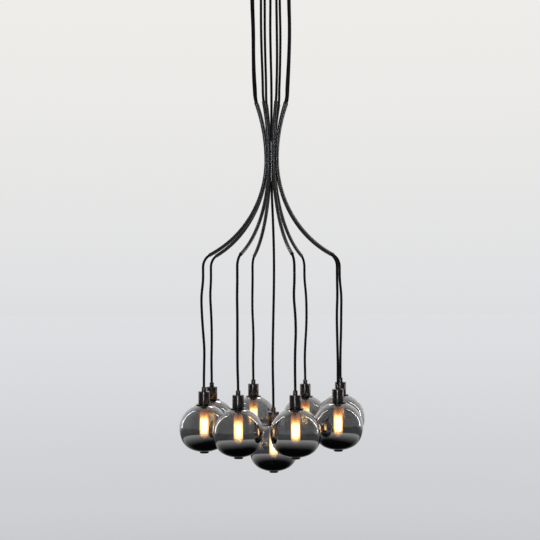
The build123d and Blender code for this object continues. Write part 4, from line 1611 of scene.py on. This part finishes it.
@dataclass
class Bulb:
    """A lit tubular bulb: screw base, amber envelope and a long cage of filament. Heights as the globe's."""

    finishes: FinishBook
    base_radius: float = 0.013
    radius: float = 0.016
    neck_radius: float = 0.0124
    neck_bottom: float = -0.017
    shoulder_bottom: float = -0.030
    tip: float = -0.109
    glass: float = 0.0009
    foot: float = -0.0125
    strand_top: float = -0.036
    strand_bottom: float = -0.098
    strand_circle: float = 0.008
    strand_radius: float = 0.0012
    strands: int = 8

    def cage_tree(self) -> bpy.types.NodeTree:
        """The tree that stands the filament strands upright in a ring."""
        tree, sheet, source, result = new_group(
            "filament_cage",
            "GeometryNodeTree",
            [
                ("Strands", "Int", self.strands),
                ("Circle Radius", "Float", self.strand_circle),
                ("Strand Radius", "Float", self.strand_radius),
                ("Length", "Float", self.strand_top - self.strand_bottom),
                ("Place", "Vector", None),
                ("Finish", "Material", None),
            ],
            [("Geometry", "Geometry")],
        )
        get = source.outputs
        places = {"Vertices": get["Strands"], "Radius": get["Circle Radius"]}
        ring = sheet.add("GeometryNodeMeshCircle", places)
        length = sheet.vector({2: get["Length"]})
        line = sheet.add("GeometryNodeMeshLine", {"Count": 24, "Offset": length}, mode="END_POINTS")
        curve = sheet.add("GeometryNodeMeshToCurve", {"Mesh": line.outputs[0]})
        circle = {"Resolution": 8, "Radius": get["Strand Radius"]}
        profile = sheet.add("GeometryNodeCurvePrimitiveCircle", circle).outputs[0]
        sweep = {"Curve": curve.outputs[0], "Profile Curve": profile, "Fill Caps": True}
        strand = sheet.add("GeometryNodeCurveToMesh", sweep).outputs[0]
        stand = sheet.add("GeometryNodeInstanceOnPoints", {"Points": ring.outputs[0], "Instance": strand})
        move = {"Geometry": stand.outputs[0], "Translation": get["Place"]}
        moved = sheet.add("GeometryNodeTransform", move)
        sheet.close(result, moved.outputs[0], get["Finish"])
        return tree

    def capsule(self, radius: float, high: float, low: float, top: Vector, look: str) -> bpy.types.Mesh:
        """A closed round-ended column of light inside the envelope.

        Args:
            radius: the column's radius.
            high: its upper end.
            low: its lower end.
            top: where the heights count from.
            look: its finish.

        Returns:
            The mesh.
        """
        corners = [(0.0, high, 0), (radius, high, radius * 0.7), (radius, low, radius * 0.8), (0.0, low, 0)]
        mesh = lathe(rounded(corners, 6), top, 32, (self.neck_bottom, self.tip))
        return dressed(mesh, self.finishes[look], 60.0)

    def build(self, top: Vector, key: str, cage: bpy.types.NodeTree) -> None:
        """Build one bulb.

        Args:
            top: the middle of its glass globe's top.
            key: the pendant's key.
            cage: the filament's geometry tree.
        """
        body = f"pendant_{key}"
        base = [
            (0.0, 0.01545, 0),
            (0.005, 0.01545, 0.0008),
            (self.base_radius, 0.0105, 0.0008),
            (self.base_radius, self.foot, 0.0003),
            (0.0, self.foot, 0),
        ]
        base_mesh = dressed(lathe(rounded(base, 3), top, 64), self.finishes["lamp_base_brass"])
        thin = self.glass
        envelope = [
            (self.neck_radius, self.foot, 0),
            (self.neck_radius, self.neck_bottom, 0.006),
            (self.radius, self.shoulder_bottom, 0.008),
            (self.radius, self.tip, 0.009),
            (0.0, self.tip, 0),
            (0.0, self.tip + thin, 0),
            (self.radius - thin, self.tip + thin, 0.0081),
            (self.radius - thin, self.shoulder_bottom, 0.008),
            (self.neck_radius - thin, self.neck_bottom, 0.006),
            (self.neck_radius - thin, self.foot, 0),
        ]
        glass_mesh = lathe(rounded(envelope, 8), top, 64, (self.neck_bottom, self.tip))
        dressed(glass_mesh, self.finishes["amber_bulb_glass"], 60.0)
        place_piece(base_mesh, f"bulb_base_{key}", body, [f"bulb_{key}"])
        place_piece(glass_mesh, f"bulb_envelope_{key}", body)
        low = top + Vector((0, 0, self.strand_bottom))
        strands = baked(cage, {"Place": tuple(low), "Finish": self.finishes["filament_white"]})
        store_depth(strands, top.z, (self.neck_bottom, self.tip))
        dressed(strands, self.finishes["filament_white"], 60.0)
        stem = [
            (0.0, self.foot, 0),
            (0.0085, self.foot, 0.001),
            (0.0050, -0.0230, 0.004),
            (0.0042, self.strand_top, 0.001),
            (0.0062, self.strand_top - 0.002, 0.001),
            (0.0062, self.strand_top - 0.005, 0.001),
            (0.0, self.strand_top - 0.005, 0),
        ]
        stem_mesh = dressed(lathe(rounded(stem, 4), top, 32), self.finishes["smoked_stem_glass"])
        place_piece(stem_mesh, f"bulb_stem_{key}", body)
        haze = self.capsule(0.0133, self.strand_top + 0.006, self.strand_bottom - 0.006, top, "filament_haze")
        place_piece(joined([strands, haze], "glow"), f"bulb_filament_{key}", body)


@dataclass
class Pendants:
    """The nine hanging pendants: cord, lampholder, globe and bulb."""

    finishes: FinishBook
    ring_radius: float = 0.254
    ring_cap: float = -1.4715
    centre_cap: float = -1.552
    glass_drop: float = 0.063

    def top_of_glass(self, key: str) -> Vector:
        """The middle of the top of a pendant's glass.

        Args:
            key: the pendant's key.

        Returns:
            The place.
        """
        if key == "centre":
            return Vector((0.0, 0.0, self.centre_cap - self.glass_drop))
        index = int(key) - 1
        turn = math.radians(ARM_ANGLES[index])
        height = self.ring_cap + RISE[index] - self.glass_drop
        return Vector((self.ring_radius * math.cos(turn), self.ring_radius * math.sin(turn), height))

    def build(self) -> None:
        """Build every pendant."""
        holder, globe, bulb = Lampholder(self.finishes), Globe(self.finishes), Bulb(self.finishes)
        cage = bulb.cage_tree()
        for key in KEYS:
            top = self.top_of_glass(key)
            Cord(key, self.finishes).build()
            holder.build(top, key)
            globe.build(top, key)
            bulb.build(top, key, cage)


# ------------------------------------------------------------------ studio
@dataclass(frozen=True)
class Softbox:
    """A soft area light that the camera never sees, and gloss only where it is mirrored."""

    name: str
    place: Point2
    height: float
    width: float
    tall: float
    power: float
    aim_height: float = -1.2
    mirrored: bool = True
    tint: Colour = (1.0, 1.0, 1.0)

    def build(self) -> None:
        """Hang the light and aim it at the lamp's axis."""
        light = bpy.data.lights.new(self.name, "AREA")
        light.shape = "RECTANGLE"
        light.size, light.size_y, light.energy = self.width, self.tall, self.power
        light.color = self.tint
        item = link(self.name, light)
        place = Vector((*self.place, self.height))
        item.location = place
        item.rotation_mode = "QUATERNION"
        item.rotation_quaternion = (Vector((0, 0, self.aim_height)) - place).to_track_quat("-Z", "Y")
        item.visible_camera = False
        item.visible_transmission = False
        item.visible_glossy = self.mirrored


@dataclass
class Studio:
    """Pale backdrop and floor, soft light and the camera."""

    floor_height: float = -2.42
    camera_distance: float = 4.77
    camera_height: float = -1.081
    camera_azimuth: float = 5.5
    pixels: float = 540.0
    focal_pixels: float = 1340.0
    aim_right: float = 2.4
    aim_down: float = 5.0
    roll: float = 0.0072
    dim_room: Colour = (0.095, 0.098, 0.104)

    def build_camera(self) -> None:
        """Place the camera, level with the arms' lower ends, and turn it as the photograph is framed."""
        turn = math.radians(self.camera_azimuth)
        right = Vector((math.cos(turn), math.sin(turn), 0))
        ahead = Vector((-math.sin(turn), math.cos(turn), 0))
        up = Vector((0, 0, 1))
        aside, raised = self.aim_right / self.focal_pixels, self.aim_down / self.focal_pixels
        forward = (ahead - right * aside + up * raised).normalized()
        lift = up + right * self.roll
        lift = (lift - forward * lift.dot(forward)).normalized()
        side = forward.cross(lift)
        data = bpy.data.cameras.new("camera")
        data.sensor_width = 36.0
        data.lens = self.focal_pixels / self.pixels * 36.0
        data.clip_end = 60.0
        camera = link("camera", data)
        basis = Matrix((side, lift, -forward)).transposed().to_4x4()
        place = -ahead * self.camera_distance + up * self.camera_height
        camera.matrix_world = Matrix.Translation(place) @ basis
        bpy.context.scene.camera = camera

    @staticmethod
    def pale(sheet: NodeSheet, height: Value) -> bpy.types.NodeSocket:
        """The backdrop's pale grey by how far a direction points up or down."""
        span = sheet.range(height, -0.25, 0.25, 0.0, 1.0)
        stops = [(0.0, (0.62, 0.63, 0.65)), (0.5, (0.755, 0.758, 0.770)), (1.0, (0.86, 0.85, 0.82))]
        return sheet.ramp(span, stops)

    def build_world(self) -> None:
        """Light the scene evenly, and show glass and gloss a pale room with a dimmer front."""
        world = bpy.data.worlds.new("studio")
        world.use_nodes = True
        bpy.context.scene.world = world
        world.cycles.sampling_method = "NONE"
        sheet = NodeSheet(world.node_tree)
        towards = sheet.axes(sheet.add("ShaderNodeTexCoord").outputs["Generated"])
        pale = self.pale(sheet, towards[2])
        seen = sheet.add("ShaderNodeBackground", {"Color": pale, "Strength": 1.0})
        even = sheet.add("ShaderNodeBackground", {"Color": (0.92, 0.95, 1.0), "Strength": 0.55})
        behind = sheet.range(towards[1], 0.10, 0.85, 0.0, 1.0)
        overhead = sheet.range(towards[2], 0.60, 1.00, 0.0, 0.06)
        room = sheet.mix(sheet.math("MAXIMUM", behind, overhead), self.dim_room, pale)
        gloss = sheet.add("ShaderNodeBackground", {"Color": room, "Strength": 1.0})
        ray = sheet.add("ShaderNodeLightPath").outputs
        direct = sheet.math("MAXIMUM", ray["Is Camera Ray"], ray["Is Transmission Ray"])
        mirrored = {0: ray["Is Glossy Ray"], 1: even.outputs[0], 2: gloss.outputs[0]}
        first = sheet.add("ShaderNodeMixShader", mirrored)
        both = sheet.add("ShaderNodeMixShader", {0: direct, 1: first.outputs[0], 2: seen.outputs[0]})
        output = sheet.add("ShaderNodeOutputWorld")
        sheet.put(output.inputs["Surface"], both.outputs[0])

    def build_floor(self) -> None:
        """Lay a wide pale floor that blends into the backdrop and takes the lamp's shadow; its glow is
        painted darker near the lamp, and gloss sees a painted dark disc and a painted lit band on it.
        """
        form = bmesh.new()
        bmesh.ops.create_grid(form, x_segments=1, y_segments=1, size=40.0)
        mesh = bpy.data.meshes.new("studio_floor")
        form.to_mesh(mesh)
        form.free()
        mesh.transform(Matrix.Translation((0, 0, self.floor_height)))
        floor = link("studio_floor", mesh)
        material = bpy.data.materials.new("pale_floor")
        material.use_nodes = True
        sheet = NodeSheet(material.node_tree)
        spot = sheet.axes(sheet.object_place())
        flat = sheet.vector({0: spot[0], 1: spot[1]})
        away = sheet.add("ShaderNodeVectorMath", {0: flat}, operation="LENGTH").outputs["Value"]
        # Painted shade: the floor's own glow is darkest within two metres of the lamp's axis and pales
        # outwards.
        reach = sheet.math("SUBTRACT", 1.0, sheet.math("DIVIDE", 2.0, sheet.math("MAXIMUM", away, 2.0)))
        far = (0.675, 0.679, 0.690)
        near, between = (0.425, 0.431, 0.445), (0.513, 0.519, 0.532)
        seen = sheet.ramp(reach, [(0.0, near), (0.5, between), (0.79, (0.598, 0.604, 0.617)), (1.0, far)])
        # Painted reflection: glass and gloss see a painted dark disc under the lamp, a painted lit band round
        # it and the dim room in front, and the pale floor behind the lamp.
        behind = sheet.range(spot[1], 1.50, 7.00, 0.0, 1.0)
        dark, painted_lit_band = (0.016, 0.016, 0.017), (0.62, 0.62, 0.61)
        painted_reflection_bands = [(0.0, dark), (0.18, dark), (0.44, painted_lit_band), (0.52, painted_lit_band), (0.56, self.dim_room)]
        front = sheet.ramp(sheet.math("MULTIPLY", away, 0.25), painted_reflection_bands)
        mirrored = sheet.mix(behind, front, far)
        ray = sheet.add("ShaderNodeLightPath").outputs
        shade = sheet.mix(ray["Is Glossy Ray"], seen, mirrored)
        glow = sheet.add("ShaderNodeEmission", {"Color": shade, "Strength": 1.0})
        lit = sheet.add("ShaderNodeBsdfDiffuse", {"Color": (0.16, 0.16, 0.163)})
        dull = sheet.add("ShaderNodeMixShader", {0: ray["Is Glossy Ray"], 1: lit.outputs[0]})
        shown = sheet.add("ShaderNodeAddShader", {0: glow.outputs[0], 1: dull.outputs[0]})
        plain = sheet.add("ShaderNodeBsdfDiffuse", {"Color": (0.6, 0.6, 0.61)})
        direct = sheet.math("MAXIMUM", ray["Is Camera Ray"], ray["Is Transmission Ray"])
        direct = sheet.math("MAXIMUM", direct, ray["Is Glossy Ray"])
        top = sheet.add("ShaderNodeMixShader", {0: direct, 1: plain.outputs[0], 2: shown.outputs[0]})
        clear = sheet.add("ShaderNodeBsdfTransparent")
        back = sheet.add("ShaderNodeNewGeometry").outputs["Backfacing"]
        whole = sheet.add("ShaderNodeMixShader", {0: back, 1: top.outputs[0], 2: clear.outputs[0]})
        output = sheet.add("ShaderNodeOutputMaterial")
        sheet.put(output.inputs["Surface"], whole.outputs[0])
        mesh.materials.append(material)

    def build(self) -> None:
        """Build the studio."""
        bpy.context.scene.view_settings.view_transform = "Standard"
        self.build_world()
        self.build_floor()
        for box in (
            Softbox("left_strip", (-1.9, 0.75), 0.0, 0.07, 3.4, 9.0, aim_height=0.0),
            Softbox("right_strip", (1.9, 0.85), 0.0, 0.07, 3.4, 9.0, aim_height=0.0),
            Softbox("beside_camera", (-0.30, -4.3), -0.95, 0.24, 2.7, 36.0, -0.95, tint=(0.86, 0.94, 1.0)),
            Softbox("high_behind", (-0.3, 3.2), 1.15, 1.6, 0.7, 40.0, aim_height=-1.4),
            Softbox("fill", (1.6, -3.0), 0.4, 1.6, 1.6, 30.0, mirrored=False),
            Softbox("overhead", (0.0, -0.4), 1.4, 1.8, 1.8, 30.0, mirrored=False),
        ):
            box.build()
        self.build_camera()


def main() -> None:
    """Build the lamp and its studio, and log the vertex count of each made piece."""
    logging.basicConfig(level=logging.INFO, format="%(name)s %(message)s")
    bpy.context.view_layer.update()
    finishes = FinishBook(Effects())
    for assembly in (Pendants(finishes), ArmBundle(finishes), CeilingEnd(finishes)):
        assembly.build()
        log.info("%s done", type(assembly).__name__)
    Studio().build()


if __name__ == "__main__":
    main()
